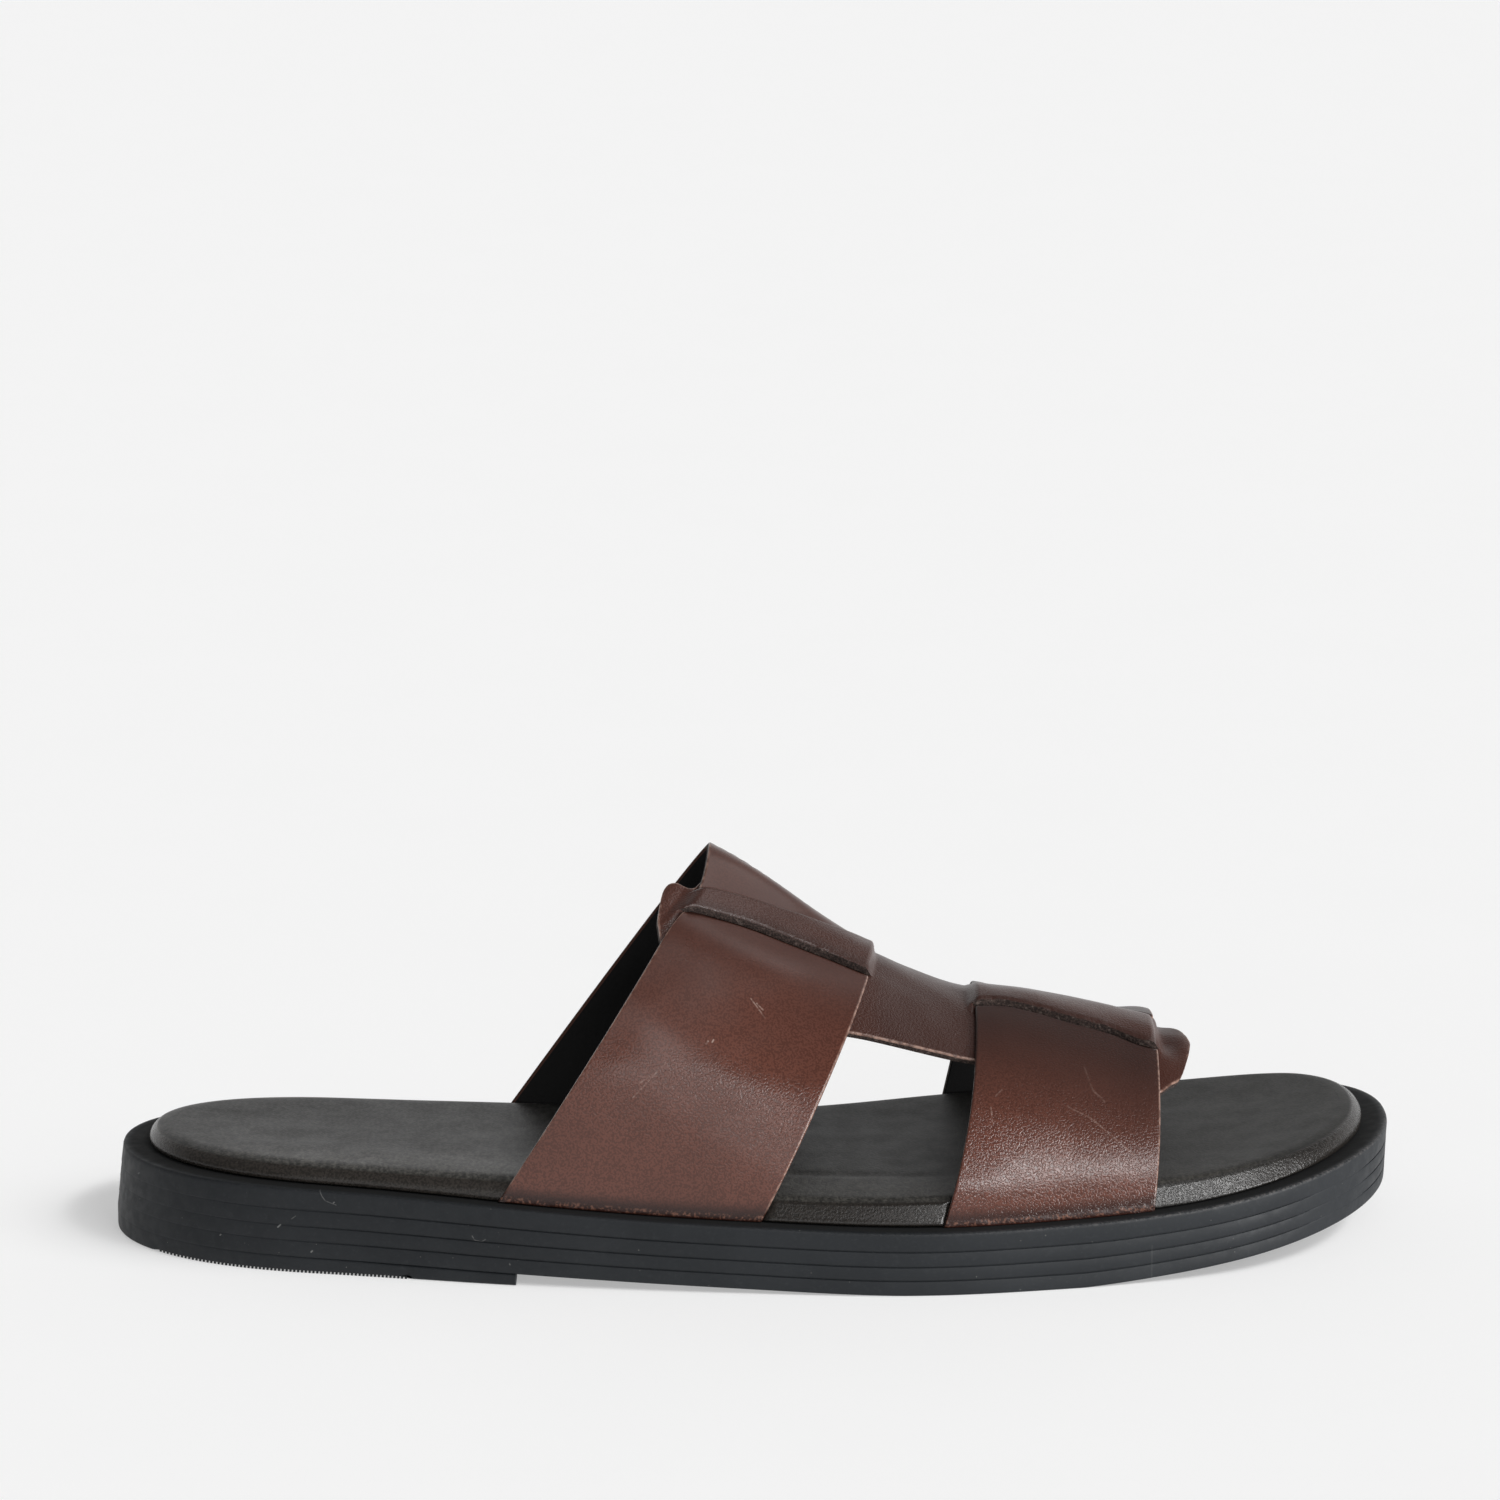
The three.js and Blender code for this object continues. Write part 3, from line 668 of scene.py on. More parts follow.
# Side wall: the grooves' places from the rim down to the underside, and a groove's height and depth.
GROOVES = (0.3, 0.54, 0.76)
GROOVE = ((-0.3, 0.0), (-0.17, 0.06), (-0.07, 0.36), (0.07, 0.36), (0.17, 0.06), (0.3, 0.0))
# Grooves fade out round the back of the heel and along the toe, and come back at its tip.
HEEL_FADE, HEEL_FAINT = (10, 80), 0.08
TOE_FADE, TOE_FAINT, TIP_BACK, TIP_SHARE = (258, 271), 0.12, (277, 284), 0.7
TREAD_DEPTH, TREAD_FROM, TREAD_TO = 0.4, 10.0, 66.0
NOTCH_AT, NOTCH_HALF, NOTCH_DEEP = 66.6, 1.2, 1.6
# Rows of the sole's section from below. Heel lift: inset, height, share of the notch and of the tread.
LIFT_ROWS = ((0.8, 0.0, 0.0, 1.0), (0.25, 0.15, 0.9, 0.9), (0.05, 0.4, 0.9, 0.6), (0, 0.8, 0.3, 0.0))
# Line between lift and slab: inset and drop. Slab's lower corner: inset and rise.
LINE_ROWS = ((0, 0.45), (0.12, 0.2), (0.5, 0.06))
FOOT_INSET = 0.55
FOOT_ROWS = ((FOOT_INSET, 0), (0.2, 0.1), (0.05, 0.3), (0, 0.6))
# Rim's corner: rise and inset. Rim: inset and rise. Shares of the rim's look in these rows.
CORNER_ROWS = ((-0.9, 0), (-0.5, 0.04), (-0.22, 0.16), (-0.06, 0.4), (0, 0.75))
RIM_ROWS = ((2.2, 0.02), (3.6, -0.02), (8.0, -0.1))
RIM_LOOK = (0.1, 0.3, 0.45, 0.55, 0.7, 0.95, 1.0, 1.0)


def build_outsole():
    at = LOOP_AT
    lifted = at < HEEL_BREAST
    lean = LEAN(at)
    worn = (smooth(*TOE_FADE, at) - TIP_SHARE * smooth(*TIP_BACK, at)) * (LOOP_SIDE < 0)
    fade = lerp(HEEL_FAINT, 1.0, smooth(*HEEL_FADE, at)) * lerp(1.0, TOE_FAINT, worn)
    rows = []

    def foot(place):
        return np.maximum(0, UNDERSIDE(place))

    def lift_row(low):
        # In front of the breast the heel lift has no height.
        rows.append(np.where(lifted[:, None], low, ring(FOOT_INSET - lean, foot)))

    def side_row(share, depth, rise):
        rows.append(ring(depth - lean * (1 - share), lambda p: lerp(foot(p), RIM(p), share) + rise))

    notch = np.where(LOOP_SIDE < 0, np.maximum(0, 1 - ((at - NOTCH_AT) / NOTCH_HALF) ** 2), 0)
    teeth = smooth(TREAD_FROM - 1, TREAD_FROM + 1, at) - smooth(TREAD_TO - 1, TREAD_TO + 1, at)
    for depth, rise, reach, lift in LIFT_ROWS:
        low = ring(depth - lean + notch * reach * NOTCH_DEEP, lambda p: rise + 0 * p)
        low[:, 2] += teeth * lift * TREAD_DEPTH
        lift_row(low)
    for depth, drop in LINE_ROWS:
        lift_row(ring(depth * fade - lean, lambda p: foot(p) - drop))
    under = np.where(lifted, fade, 1.0)
    for depth, rise in FOOT_ROWS:
        side_row(0, depth * under, rise)
    for below in reversed(GROOVES):
        for rise, depth in GROOVE:
            side_row(1 - below, depth * fade, rise)
    for rise, depth in CORNER_ROWS:
        side_row(1, depth, rise)
    for inset, rise in RIM_ROWS:
        rows.append(ring(inset, lambda p: RIM(p) + rise))
    points = np.concatenate(rows)
    rim = np.concatenate([np.zeros(len(rows) - len(RIM_LOOK)), RIM_LOOK])
    rim = np.repeat(rim, len(LOOP))
    top = (len(rows) - 1) * len(LOOP)
    quads = np.concatenate([loop_quads(len(rows)), cap_quads(0)[:, ::-1], cap_quads(top)])
    return make_piece("outsole", points, [quads], [RUBBER], weld=WELD / 2, sharp=50, rim=rim)


RIB_PITCH, RIB_WIDTH, RIB_INSET, RIB_ROOT = 0.86, 0.45, 0.2, 0.2
BOX_FACES = np.array([
    (0, 2, 3, 1), (4, 5, 7, 6), (0, 1, 5, 4), (2, 6, 7, 3), (0, 4, 6, 2), (1, 3, 7, 5),
])


def build_heel_tread():
    """Fine ribs across the underside of the heel, which show as a row of teeth along its edge."""
    points, quads = [], []
    for number, at in enumerate(np.arange(TREAD_FROM, TREAD_TO, RIB_PITCH)):
        place = np.array([at, at + RIB_WIDTH])
        edge = [outline_y(place, side) - side * (RIB_INSET - LEAN(place)) for side in (-1.0, 1.0)]
        for z in (0.0, TREAD_DEPTH + RIB_ROOT):
            for y in edge:
                points += [(x - HALF_LENGTH, across, z) for x, across in zip(place, y)]
        quads.append(number * 8 + BOX_FACES)
    return make_piece("heel_tread", np.array(points), [np.concatenate(quads)], [RUBBER], sharp=40)


# Profile of the footbed's edge: a rolled side, a step up, and the shoulder of the pad. Round the heel
# and at the tip of the toe it has no step.
ROLL = table(
    "t inset share round_inset round_share",
    (0, 4.9, 0, 4.7, 0), (0.07, 4.5, 0.035, 4.4, 0.05), (0.14, 4.35, 0.1, 4.3, 0.14),
    (0.28, 4.88, 0.29, 4.35, 0.32), (0.45, 5.55, 0.51, 4.75, 0.53), (0.6, 6.13, 0.69, 5.4, 0.71),
    (0.7, 6.55, 0.81, 6.0, 0.82), (0.76, 6.95, 0.865, 6.5, 0.875), (0.81, 7.35, 0.89, 7.0, 0.915),
    (0.86, 7.75, 0.92, 7.6, 0.95), (0.92, 8.3, 0.965, 8.3, 0.98), (1.0, 9.4, 1.0, 9.4, 1.0),
)
STEP_RISE, STEP_FALL = (70, 130), (258, 276)
ROLL_ROWS, ACROSS = 44, 44
ROLL_END, DISH_END = 9.4, 60
DISH = through((ROLL_END, 1), (15, 0.97), (24, 0.9), (36, 0.88), (DISH_END, 0.88))
# Beside a band the roll draws back, by an inset that grows with height.
POCKET_EDGE, POCKET_INSET, POCKET_LEAN = (0.1, 1.5), 6.6, 0.8
# Unevenness of the top, away from the roll: height, wave and seed.
UNEVEN, UNEVEN_STRETCH, UNEVEN_FROM = ((0.035, 15, 5), (0.01, 4.2, 8)), (3.5, 1, 1), (9.6, 16)
# A trough beside the bands: its ends along and across, depth and half width.
TROUGH = ((4.0, 44.0), (-25.0, -27.5), 0.28, 1.6)
TROUGH_RISE, TROUGH_FALL = (-0.1, 0.15), (0.85, 1.1)


def band_edge_x(at, hand, height):
    """Where a band's edge is along the shoe, at a height above the rim."""
    edge = last_point(at, hand * np.linspace(1, 0.5, 60))
    return np.interp(height, edge[:, 2] - RIM(edge[:, 0] + HALF_LENGTH), edge[:, 0])


def pocket_share(height):
    """1 where a band runs down between the footbed and the rim."""
    share = np.zeros(len(LOOP))
    x = LOOP[:, 0]
    near, far = POCKET_EDGE
    for hand in (-1.0, 1.0):
        for band in (REAR_BAND, FRONT_BAND):
            start, end = (band_edge_x(at, hand, height) for at in band)
            inside = smooth(start + near, start + far, x) - smooth(end - far, end - near, x)
            share = np.maximum(share, np.where(LOOP_SIDE == hand, inside, 0))
    return share


def build_footbed():
    draw, rise = FOOTBED["draw"](LOOP_AT), FOOTBED["rise"]
    stepped = smooth(*STEP_RISE, LOOP_AT) - smooth(*STEP_FALL, LOOP_AT)
    rows, steps = [], np.linspace(0, 1, ROLL_ROWS)
    for t in steps:
        share = lerp(ROLL["round_share"](t), ROLL["share"](t), stepped)
        inset = lerp(ROLL["round_inset"](t), ROLL["inset"](t), stepped) + draw
        pocket = pocket_share(FOOTBED_GAP + share * rise(HALF_LENGTH))
        inset = lerp(inset, np.maximum(inset, POCKET_INSET + POCKET_LEAN * share), pocket)
        rows.append(ring(inset, lambda p: RIM(p) + FOOTBED_GAP + rise(p) * share))
    rows = np.concatenate(rows)
    outer, inner = across_pairs(len(rows) - len(LOOP))
    share = np.linspace(0, 1, ACROSS + 1)[:, None, None]
    middle = lerp(rows[outer][None], rows[inner][None], share)
    flat = middle.reshape(-1, 3)
    at = np.clip(flat[:, 0] + HALF_LENGTH, 0, LENGTH)
    inset = distance_to(flat, LOOP) - FOOTBED["draw"](at)
    flat[:, 2] = RIM(at) + FOOTBED_GAP + rise(at) * DISH(np.clip(inset, ROLL_END, DISH_END))
    away = smooth(*UNEVEN_FROM, inset)
    for height, wave, seed in UNEVEN:
        flat[:, 2] += away * height * ripple(flat, wave, seed, UNEVEN_STRETCH)
    (x0, x1), (y0, y1), deep, half = TROUGH
    along = (flat[:, 0] - x0) / (x1 - x0)
    off = (flat[:, 1] - lerp(y0, y1, along)) / half
    flat[:, 2] -= deep * np.exp(-off**2) * smooth(*TROUGH_RISE, along) * (1 - smooth(*TROUGH_FALL, along))
    # The middle meets the roll exactly.
    middle = flat.reshape(middle.shape)
    middle[0], middle[-1] = rows[outer], rows[inner]
    middle[:, 0], middle[:, -1] = rows[outer[0]], rows[outer[-1]]
    points = np.concatenate([rows, middle.reshape(-1, 3)])
    top = grid_quads(len(rows), *middle.shape[:2], flip=True)
    quads = np.concatenate([loop_quads(ROLL_ROWS), cap_quads(0)[:, ::-1], top])
    roll = np.concatenate([np.repeat(steps, len(LOOP)), np.ones(len(flat))])
    piece = make_piece("footbed", points, [quads], [FOOTBED_LEATHER], roll=roll)
    return piece


# ---------- bands and strap

BAND_WALL, STRAP_WALL = 1.75, 1.6
MARGIN_LIFT, DIVE = 1.15, 1.5
RIDGE_NEAR, RIDGE_FAR_REAR, RIDGE_FAR_FRONT = 2.2, 2.3, 1.5
EDGE_STEPS = np.array([0, 0.1, 0.22, 0.36, 0.55, 0.85, 1.3, 1.9, 2.7])
BEVEL = 0.4
# Distances from the strap's lines between which a band rises over it and dives under the ridge.
OVER_RISE, OVER_FALL = (-22, -10), (-4, 14)
UNDER_RISE, UNDER_FALL = (-2.4, 0.5), (-1.4, 0.7)


def step(line, span, value):
    """Soft step between two distances from a line."""
    return smooth(line + span[0], line + span[1], value)


def weave_lines(x):
    x = np.clip(x, WEAVE_FROM, WEAVE_TO)
    return [OUTER_MARGIN + 0 * x, STRAP["outer_slit"](x), STRAP["inner_slit"](x), INNER_MARGIN(x)]


def weave(x, y):
    """How much a band rides over the strap, and how much it runs under the strap's ridge."""
    outer_edge, outer_slit, inner_slit, inner_edge = weave_lines(x)
    over = step(outer_edge, OVER_RISE, y) - step(inner_edge, OVER_FALL, y)
    under = step(outer_slit, UNDER_RISE, y) - step(inner_slit, UNDER_FALL, y)
    return over, under


def bevel(distance, radius=BEVEL):
    left = np.clip(1 - distance / radius, 0, 1)
    return radius * (1 - np.sqrt(1 - left**2))


def edge_rows(start, end):
    middle = np.linspace(start + EDGE_STEPS[-1], end - EDGE_STEPS[-1], 40)[1:-1]
    return np.concatenate([start + EDGE_STEPS, middle, (end - EDGE_STEPS)[::-1]])


# Marks across a band, each a line of the weave and a distance from it, and the columns between them.
SECTIONS = (
    (0, -6), (0, 1), (1, -2.8), (1, -0.1), (1, 1.2), (2, -1.2), (2, 0.1), (2, 2.8), (3, -1), (3, 6),
)
SECTION_COLUMNS = (6, 9, 10, 4, 8, 4, 10, 9, 6)
FLANK = 60


def band_sides(at):
    """Columns of one row of a band: close together where it dives under the ridge."""
    marks = []
    for line, shift in SECTIONS:
        y = weave_lines(at)[line]
        x = last_point(at, side_of(at, y))[0]
        marks.append(weave_lines(x)[line] + shift)
    first, last = (float(side_of(at, np.array(marks[i]))) for i in (0, -1))
    spans = [np.linspace(-1, first, FLANK + 1)[:-1]]
    for i, count in enumerate(SECTION_COLUMNS):
        y = np.linspace(marks[i], marks[i + 1], count + 1)[:-1]
        spans.append(side_of(np.full(count, at), y))
    spans.append(np.linspace(last, 1, FLANK + 1))
    return np.concatenate(spans)


# Softness of the surface: height, wave and the rise from the foot.
BAND_SOFT, SOFT_RISE = (0.03, 16), (1, 10)
# How a band drops beyond the ridge, by the distances from the slit and from its own edges.
DROP_RISE, DROP_EDGE = (-1, 4), (1, 9)
# A rough line along the foot: its height, and its swell, roughness and wave.
FOOT_LINE, FOOT_ROUGH = 0.9, (0.12, 0.1, 1.6)
LINING_SEAT, LINING_BEVEL, LEAST_WALL = 0.05, 0.25, 0.5
# Painted shade: where the shade of the slits and of the feet begins to fade, and the seam's painted
# contact shadow.
SLIT_SHADE_FULL, FOOT_SHADE_FROM = 0.08, 1.2
SEAM_SHADE, SEAM_REACH = 0.85, 0.9
# The grain is calmer high on a band.
CALM_RISE, CALM_SHARE = (25, 38), 0.85


def both(values):
    """Values for the two sides of a sheet."""
    return np.concatenate([values.ravel(), values.ravel()])


def build_band(name, band, seed, slit_shade, burn, grain, rubbed, far_drop=0.0):
    """A band, with the strength and reach of the painted shade at its slits and at its feet. Rubbed: at
    both edges.
    """
    places = edge_rows(*band)
    side = np.stack([band_sides(at) for at in places])
    at = np.broadcast_to(places[:, None], side.shape)
    base, normal = last_point(at, side), last_normal(at, side)
    x, y, z = np.moveaxis(base, -1, 0)
    _, outer_slit, inner_slit, _ = weave_lines(x)
    over, under = weave(x, y)
    foot = z - RIM(x + HALF_LENGTH)
    stride = np.linalg.norm(np.diff(base, axis=0), axis=-1)
    from_start = np.concatenate([np.zeros((1, side.shape[1])), np.cumsum(stride, 0)])
    edge = np.minimum(from_start, from_start[-1] - from_start)
    soft = BAND_SOFT[0] * ripple(base, BAND_SOFT[1], seed) * smooth(*SOFT_RISE, foot)
    outer = BAND_WALL + MARGIN_LIFT * over - DIVE * under + soft
    outer -= far_drop * smooth(*DROP_RISE, y - inner_slit) * over * smooth(*DROP_EDGE, edge)
    outer -= bevel(edge)
    rough = np.clip(1 - np.abs(foot - FOOT_LINE) / FOOT_LINE, 0, 1)
    swell, height, wave = FOOT_ROUGH
    outer += rough * (swell + height * ripple(base, wave, seed + 1))
    inner = LINING_SEAT + STRAP_WALL * (over - under) + bevel(edge, LINING_BEVEL)
    inner = np.minimum(inner, outer - LEAST_WALL)
    top = base + normal * outer[..., None]
    low = base + normal * inner[..., None]
    top_quads, low_quads, ends, sides = sheet_quads(*side.shape)
    groups = [top_quads, low_quads, np.concatenate(ends + sides)]
    points = np.concatenate([top.reshape(-1, 3), low.reshape(-1, 3)])
    # Painted shade: darker towards the slits.
    shade, reach = slit_shade
    away = np.maximum(outer_slit - y, y - inner_slit)
    burnish = shade * (1 - smooth(reach * SLIT_SHADE_FULL, reach, away))
    worn = np.minimum(from_start + (0 if rubbed else 1), from_start[-1] - from_start)
    # Painted shade at the foot, and a painted contact shadow along the seam under the near slit.
    burnt = burn[0] * (1 - smooth(FOOT_SHADE_FROM, burn[1], foot))
    burnt = np.maximum(burnt, SEAM_SHADE * np.exp(-((outer_slit - y) / SEAM_REACH) ** 2))
    return make_piece(
        name, points, groups, [LEATHER, LINING, CUT], sharp=60,
        edge=both(worn), foot=both(foot), burnish=both(burnish), burnt=both(burnt),
        grain=both(grain * (1 - CALM_SHARE * smooth(*CALM_RISE, foot))),
    )


STRAP_ROW, STRAP_GRAIN, NO_FOOT = 0.45, 0.8, 50.0
TAB_STEPS = np.concatenate([[0.01, 0.04], EDGE_STEPS[1:6], [1.0]])
MARGIN_STEPS = np.concatenate([EDGE_STEPS[:7] / 12, [0.25, 0.4, 0.55, 0.7, 0.82, 0.92, 1.0]])
RIDGE_STEPS = np.linspace(0, 1, 17)
TAB_POINTS = 80
# Shares of the strap's width that the slit lines keep from the edges and from each other at the tabs.
OUTER_KEEP, INNER_KEEP = (0.2, 0.28), (0.1, 0.03)
# The ridge rises from the strap at a band's first edge and falls back to it at the last one.
RIDGE_RISE, RIDGE_FALL, RIDGE_ROUND = (-2.5, 1.0), (-1.2, 0.8), 0.25
RIDGE_CHANGE, MARGIN_REACH, UNDER_SHARE = (26, 48), 3.5, 0.8
SLIT_END, SLIT_LEAST = 1.0, 0.01
STRAP_SEAT, STRAP_SOFT = 0.05, (0.05, 9, 31)
# The slits' lips: bevels, and the near lip's roughness as height, wave, seed and reach.
LIP_BEVELS, LIP_ROUGH = (0.35, 0.3), (0.07, 1.5, 33, 0.8)
# The front tab sinks behind the front band.
TAB_SINK, SINK_RISE, SINK_FALL, SINK_ACROSS = 2.0, (89.6, 91.2), (91.2, 96), (-12, -2)
FRONT_TAB_FROM = 89.3
# How much painted shade the strap has, which also makes it duller, and the places along it between which
# that changes.
STRAP_SHADE, REAR_TAB_SHADE, FRONT_TAB_SHADE = 0.68, 0.5, 0.75
BETWEEN_SHADE, LIP_SHADE, LIP_REACH = 0.85, 0.9, 2.4
REAR_TAB_END, BETWEEN_RISE, BETWEEN_FALL, FRONT_TAB_START = (-18, -12), (23, 29), (45, 50), (86, 92)


def band_share(at, rise, fall):
    """1 along a band. It rises and falls between two distances from the band's edges."""
    share = 0
    for start, end in (REAR_BAND, FRONT_BAND):
        share = np.maximum(share, step(start, rise, at) - step(end, fall, at))
    return share


def strap_plan():
    """Rows along the strap, places across its three strips, its slit lines and its border."""
    x = np.linspace(STRAP_REAR, STRAP_FRONT, int((STRAP_FRONT - STRAP_REAR) / STRAP_ROW))
    x = np.unique(np.concatenate([x[1:-1], STRAP_REAR + TAB_STEPS, STRAP_FRONT - TAB_STEPS]))
    outer_edge, outer_slit, inner_slit, inner_edge = (line(x) for line in STRAP.values())
    width = inner_edge - outer_edge
    outer_slit = np.minimum(outer_slit, inner_edge - OUTER_KEEP[1] * width)
    outer_slit = np.maximum(outer_edge + OUTER_KEEP[0] * width, outer_slit)
    inner_slit = np.minimum(inner_slit, inner_edge - INNER_KEEP[1] * width)
    inner_slit = np.maximum(outer_slit + INNER_KEEP[0] * width, inner_slit)
    strips = (
        (outer_edge, outer_slit, MARGIN_STEPS),
        (outer_slit, inner_slit, RIDGE_STEPS),
        (inner_slit, inner_edge, 1 - MARGIN_STEPS[::-1]),
    )
    ys = [lerp(a[:, None], b[:, None], t[None, :]) for a, b, t in strips]
    border = [np.column_stack([x, outer_edge]), np.column_stack([x, inner_edge])]
    for i in (0, -1):
        across = np.linspace(outer_edge[i], inner_edge[i], TAB_POINTS)
        border.append(np.column_stack([np.full(TAB_POINTS, x[i]), across]))
    return x, ys, (outer_slit[:, None], inner_slit[:, None]), np.concatenate(border)


def strip_surface(number, x, y, slits, border):
    """One strip of the strap: top, underside, distance to the edge, ridge, and where its slit is open."""
    place = np.broadcast_to(x[:, None], y.shape)
    at = arch_through(place, y)
    side = side_of(at, y)
    base, normal = last_point(at, side), last_normal(at, side)
    lip = band_share(at, RIDGE_RISE, RIDGE_FALL)
    closed = lip * (1 - band_share(at, (-SLIT_END, 0), (0, SLIT_END)))
    t = np.clip((y - slits[0]) / (slits[1] - slits[0]), 0, 1)
    far = lerp(RIDGE_FAR_REAR, RIDGE_FAR_FRONT, smooth(*RIDGE_CHANGE, at))
    raised = lerp(RIDGE_NEAR, far, t) + RIDGE_ROUND * np.sin(math.pi * t)
    if number == 0:
        raised = closed * raised * smooth(-MARGIN_REACH, 0, y - slits[0])
    elif number == 1:
        raised = lip * raised
    else:
        raised = closed * raised * (1 - smooth(0, MARGIN_REACH, y - slits[1]))
    gap = distance_to(np.stack([place, y], -1), border)
    sunk = TAB_SINK * smooth(*SINK_RISE, at) * (1 - smooth(*SINK_FALL, at)) * smooth(*SINK_ACROSS, y)
    height, wave, seed = STRAP_SOFT
    outer = STRAP_WALL - STRAP_SEAT + raised - sunk - bevel(gap) + height * ripple(base, wave, seed)
    inner = -STRAP_SEAT + raised * UNDER_SHARE - sunk
    if number == 1:
        open_slit = np.clip(lip - closed, 0, 1)
        outer -= open_slit * (bevel(y - slits[0], LIP_BEVELS[0]) + bevel(slits[1] - y, LIP_BEVELS[1]))
        height, wave, seed, reach = LIP_ROUGH
        near = np.exp(-((y - slits[0]) / reach) ** 2) * lip
        outer += near * height * ripple(base, wave, seed)
    top, low = base + normal * outer[..., None], base + normal * inner[..., None]
    return top, low, gap, lip, lip - closed > SLIT_LEAST


def build_strap():
    x, ys, slits, border = strap_plan()
    points, edges, lip_shade = [], [], []
    top_faces, low_faces, walls = [], [], []
    offset = 0
    for number, y in enumerate(ys):
        top, low, gap, lip, split = strip_surface(number, x, y, slits, border)
        if number:
            # Past the ends of a slit its two sides are one line.
            whole = ~split[:, 0]
            top[whole, 0], low[whole, 0] = before[0][whole], before[1][whole]
        before = top[:, -1], low[:, -1]
        top_quads, low_quads, ends, sides = sheet_quads(*y.shape, offset)
        # A slit has walls only where it is open.
        for column, at_slit in ((0, number > 0), (-1, number < 2)):
            if at_slit:
                sides[column] = sides[column][split[:-1, column] | split[1:, column]]
        top_faces.append(top_quads)
        low_faces.append(low_quads)
        walls += ends + sides
        points += [top.reshape(-1, 3), low.reshape(-1, 3)]
        edges.append(both(gap))
        lip_shade.append(both(np.exp(-((y - slits[0]) / LIP_REACH) ** 2) * lip))
        offset += 2 * y.size
    points, edges, lip_shade = np.concatenate(points), np.concatenate(edges), np.concatenate(lip_shade)
    top = np.concatenate(top_faces)
    tip = points[top].mean(1)[:, 0] > FRONT_TAB_FROM
    groups = [top[~tip], np.concatenate(low_faces), np.concatenate(walls), top[tip]]
    along = points[:, 0]
    burnish = lerp(REAR_TAB_SHADE, STRAP_SHADE, smooth(*REAR_TAB_END, along))
    between = smooth(*BETWEEN_RISE, along) - smooth(*BETWEEN_FALL, along)
    burnish = lerp(burnish, BETWEEN_SHADE, between)
    burnish = lerp(burnish, FRONT_TAB_SHADE, smooth(*FRONT_TAB_START, along))
    # Painted shade under the near lip.
    burnish = lerp(burnish, 1.0, LIP_SHADE * lip_shade)
    feet, grain = np.full(len(points), NO_FOOT), np.full(len(points), STRAP_GRAIN)
    return make_piece(
        "centre_strap", points, groups, [LEATHER, LINING, CUT, TAB_LEATHER], weld=FINE_WELD, sharp=60,
        edge=edges, foot=feet, burnish=burnish, grain=grain,
    )


SOLE = [build_outsole(), build_heel_tread()]
for piece in SOLE:
    finish_piece(piece, "outsole")
PAD = build_footbed()
finish_piece(PAD, "footbed")
UPPER = [
    build_band("rear_band", REAR_BAND, 11, slit_shade=(0.6, 30), burn=(0.95, 4.4), grain=0.38, rubbed=True),
    build_band(
        "front_band", FRONT_BAND, 21, slit_shade=(1.0, 42), burn=(0.9, 4.4), grain=0.66, rubbed=False,
        far_drop=1.1,
    ),
    build_strap(),
]
for piece in UPPER:
    finish_piece(piece, "upper")
SHOE = [*SOLE, PAD, *UPPER]


# ---------- floor, camera and light

FLOOR_HALF, FLOOR_LINES = 12.0, 25


def build_floor():
    steps = np.linspace(-FLOOR_HALF, FLOOR_HALF, FLOOR_LINES)
    x, y = np.meshgrid(steps, steps, indexing="ij")
    points = np.stack([x, y, 0 * x], -1).reshape(-1, 3) / MM - ORIGIN
    floor = make_piece("floor", points, [grid_quads(0, FLOOR_LINES, FLOOR_LINES)], [pale_floor()])
    return floor


def heading(azimuth, elevation):
    """Direction by degrees from the camera's side, to the right and up."""
    turn, rise = math.radians(azimuth), math.radians(elevation)
    return Vector((math.sin(turn) * math.cos(rise), -math.cos(turn) * math.cos(rise), math.sin(rise)))


CAMERA_TURN, CAMERA_PITCH = -0.56, 11.6
CAMERA_DISTANCE, CAMERA_AIM = 1300.0, (-0.95, 0.25, 110.26)
FOCAL_PIXELS, PHOTO_PIXELS, SENSOR = 5817.4, 1500, 36.0
CAMERA_CLIP = (0.05, 60)


def build_camera():
    back = heading(CAMERA_TURN, CAMERA_PITCH)
    data = bpy.data.cameras.new("photo_camera")
    data.sensor_width = SENSOR
    data.lens = FOCAL_PIXELS * SENSOR / PHOTO_PIXELS
    data.clip_start, data.clip_end = CAMERA_CLIP
    camera = SCENE.camera = add_object("photo_camera", data)
    camera.location = (Vector(CAMERA_AIM) + back * CAMERA_DISTANCE) * MM
    camera.rotation_euler = (-back).to_track_quat("-Z", "Y").to_euler()


def light_only(light, pieces):
    """Keep a light off everything but the given pieces."""
    lit = light.light_linking.receiver_collection = bpy.data.collections.new(light.name)
    for piece in pieces:
        lit.objects.link(piece)


def put_light(data, place, aim=(0, 0, 0)):
    light = add_object(data.name, data)
    light.location = place
    light.rotation_euler = (Vector(place) - Vector(aim)).to_track_quat("Z", "Y").to_euler()
    return light


def add_sun(name, azimuth, elevation, width, strength):
    """Far soft light. Its width is an angle."""
    data = bpy.data.lights.new(name, "SUN")
    data.angle, data.energy = math.radians(width), strength
    return put_light(data, heading(azimuth, elevation) * 2)


def add_softbox(name, place, aim, size, power):
    """Near square light, which isn't seen itself."""
    data = bpy.data.lights.new(name, "AREA")
    data.shape, data.size, data.energy = "SQUARE", size, power
    light = put_light(data, place, aim)
    light.visible_camera = False
    return light


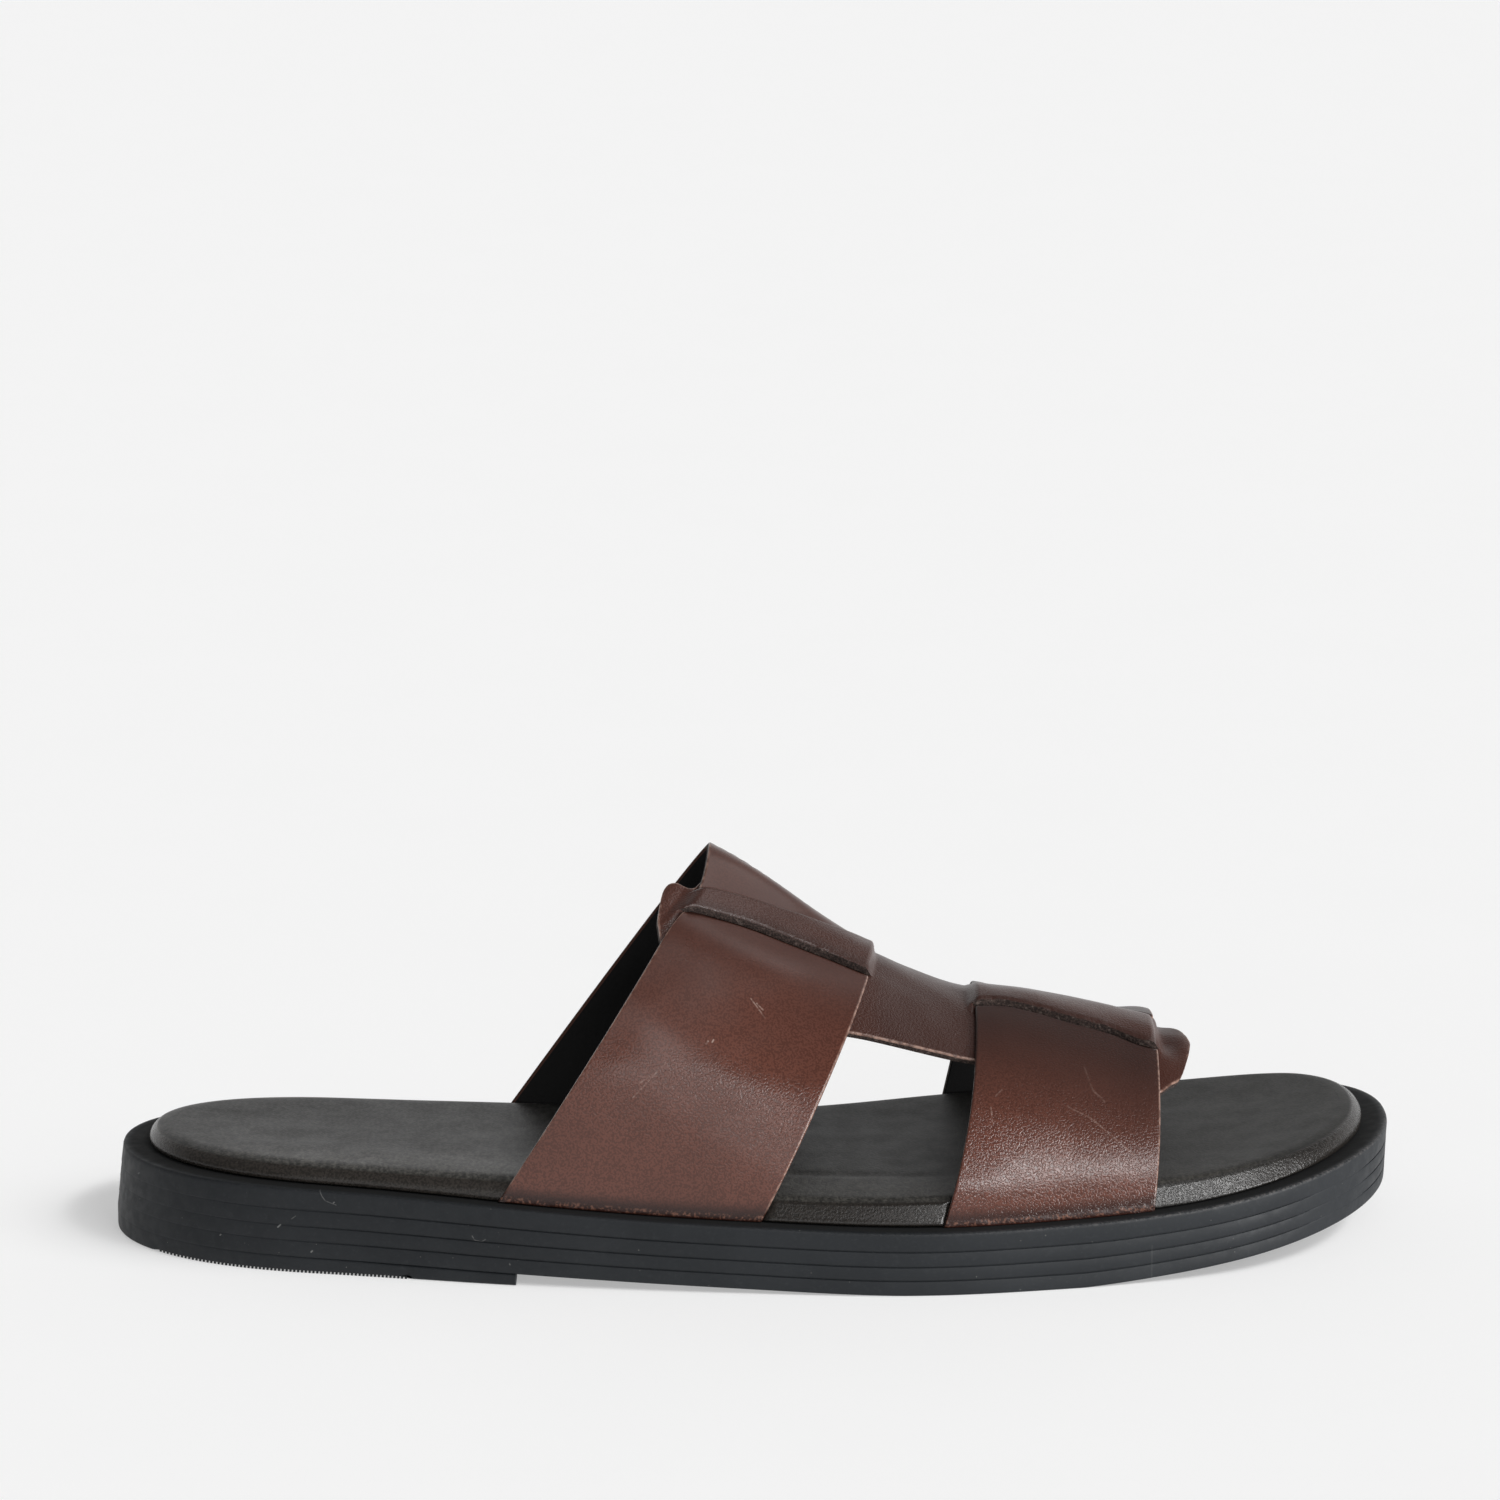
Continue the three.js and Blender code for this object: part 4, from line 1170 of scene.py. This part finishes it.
WALL_LIGHT, ROOM_LIGHT = 0.8, 0.1
WALL_TURN, WALL_TOP, WALL_TOP_SHARE = (0.0, 0.7), (0.3, 0.65), 0.12
# A strip light over the camera's right shoulder, weak at its left end: azimuth, elevation and strength.
STRIP_WIDTH = 9.5
STRIP = (
    (-4, 35.5, 0.042), (3, 40.5, 0.035), (9.5, 45.5, 0.047), (21, 40, 0.17), (29, 41, 0.19),
    (37, 42, 0.2), (45, 44, 0.25), (53, 46, 0.29), (61, 47, 0.2), (69, 47, 0.06),
)
# Near lights: low from the toe's side, and high behind the toe for the far shoulder and the ridge.
SIDE_PLACE, RIM_PLACE = (0.55, -0.34, 0.13), (1.62, 0.8, 1.76)


def build_world():
    """A bright wall behind the shoe in a dim studio."""
    world = bpy.data.worlds.new("studio")
    world.use_nodes = True
    s = Nodes(world.node_tree)
    way = s.add("ShaderNodeTexCoord").outputs["Generated"]
    _, y, z = s.add("ShaderNodeSeparateXYZ", {"Vector": way}).outputs
    wall = s.span(y, *WALL_TURN, 0.0, WALL_LIGHT, kind="LINEAR")
    top = s.span(z, *WALL_TOP, 1.0, WALL_TOP_SHARE, kind="LINEAR")
    back = s.tree.nodes["Background"]
    s.put(back.inputs["Strength"], s.math("MULTIPLY_ADD", wall, top, ROOM_LIGHT))
    s.put(back.inputs["Color"], WHITE)
    SCENE.world = world


FLOOR = build_floor()
build_camera()
build_world()
for number, (azimuth, elevation, strength) in enumerate(STRIP):
    add_sun("strip_%d" % number, azimuth, elevation, STRIP_WIDTH, strength)
add_sun("fill_softbox", azimuth=-5, elevation=8, width=60, strength=0.56)
light_only(add_softbox("side_softbox", SIDE_PLACE, (0.1, -0.03, 0.02), size=0.28, power=3.5), SHOE)
light_only(add_softbox("rim_softbox", RIM_PLACE, (0, 0, 0.06), size=1.2, power=6.2), [UPPER[0], UPPER[2]])
light_only(add_sun("floor_softbox", azimuth=70, elevation=38, width=40, strength=1.45), [FLOOR])

SCENE.view_settings.view_transform = "Standard"
SCENE.view_settings.look = "None"
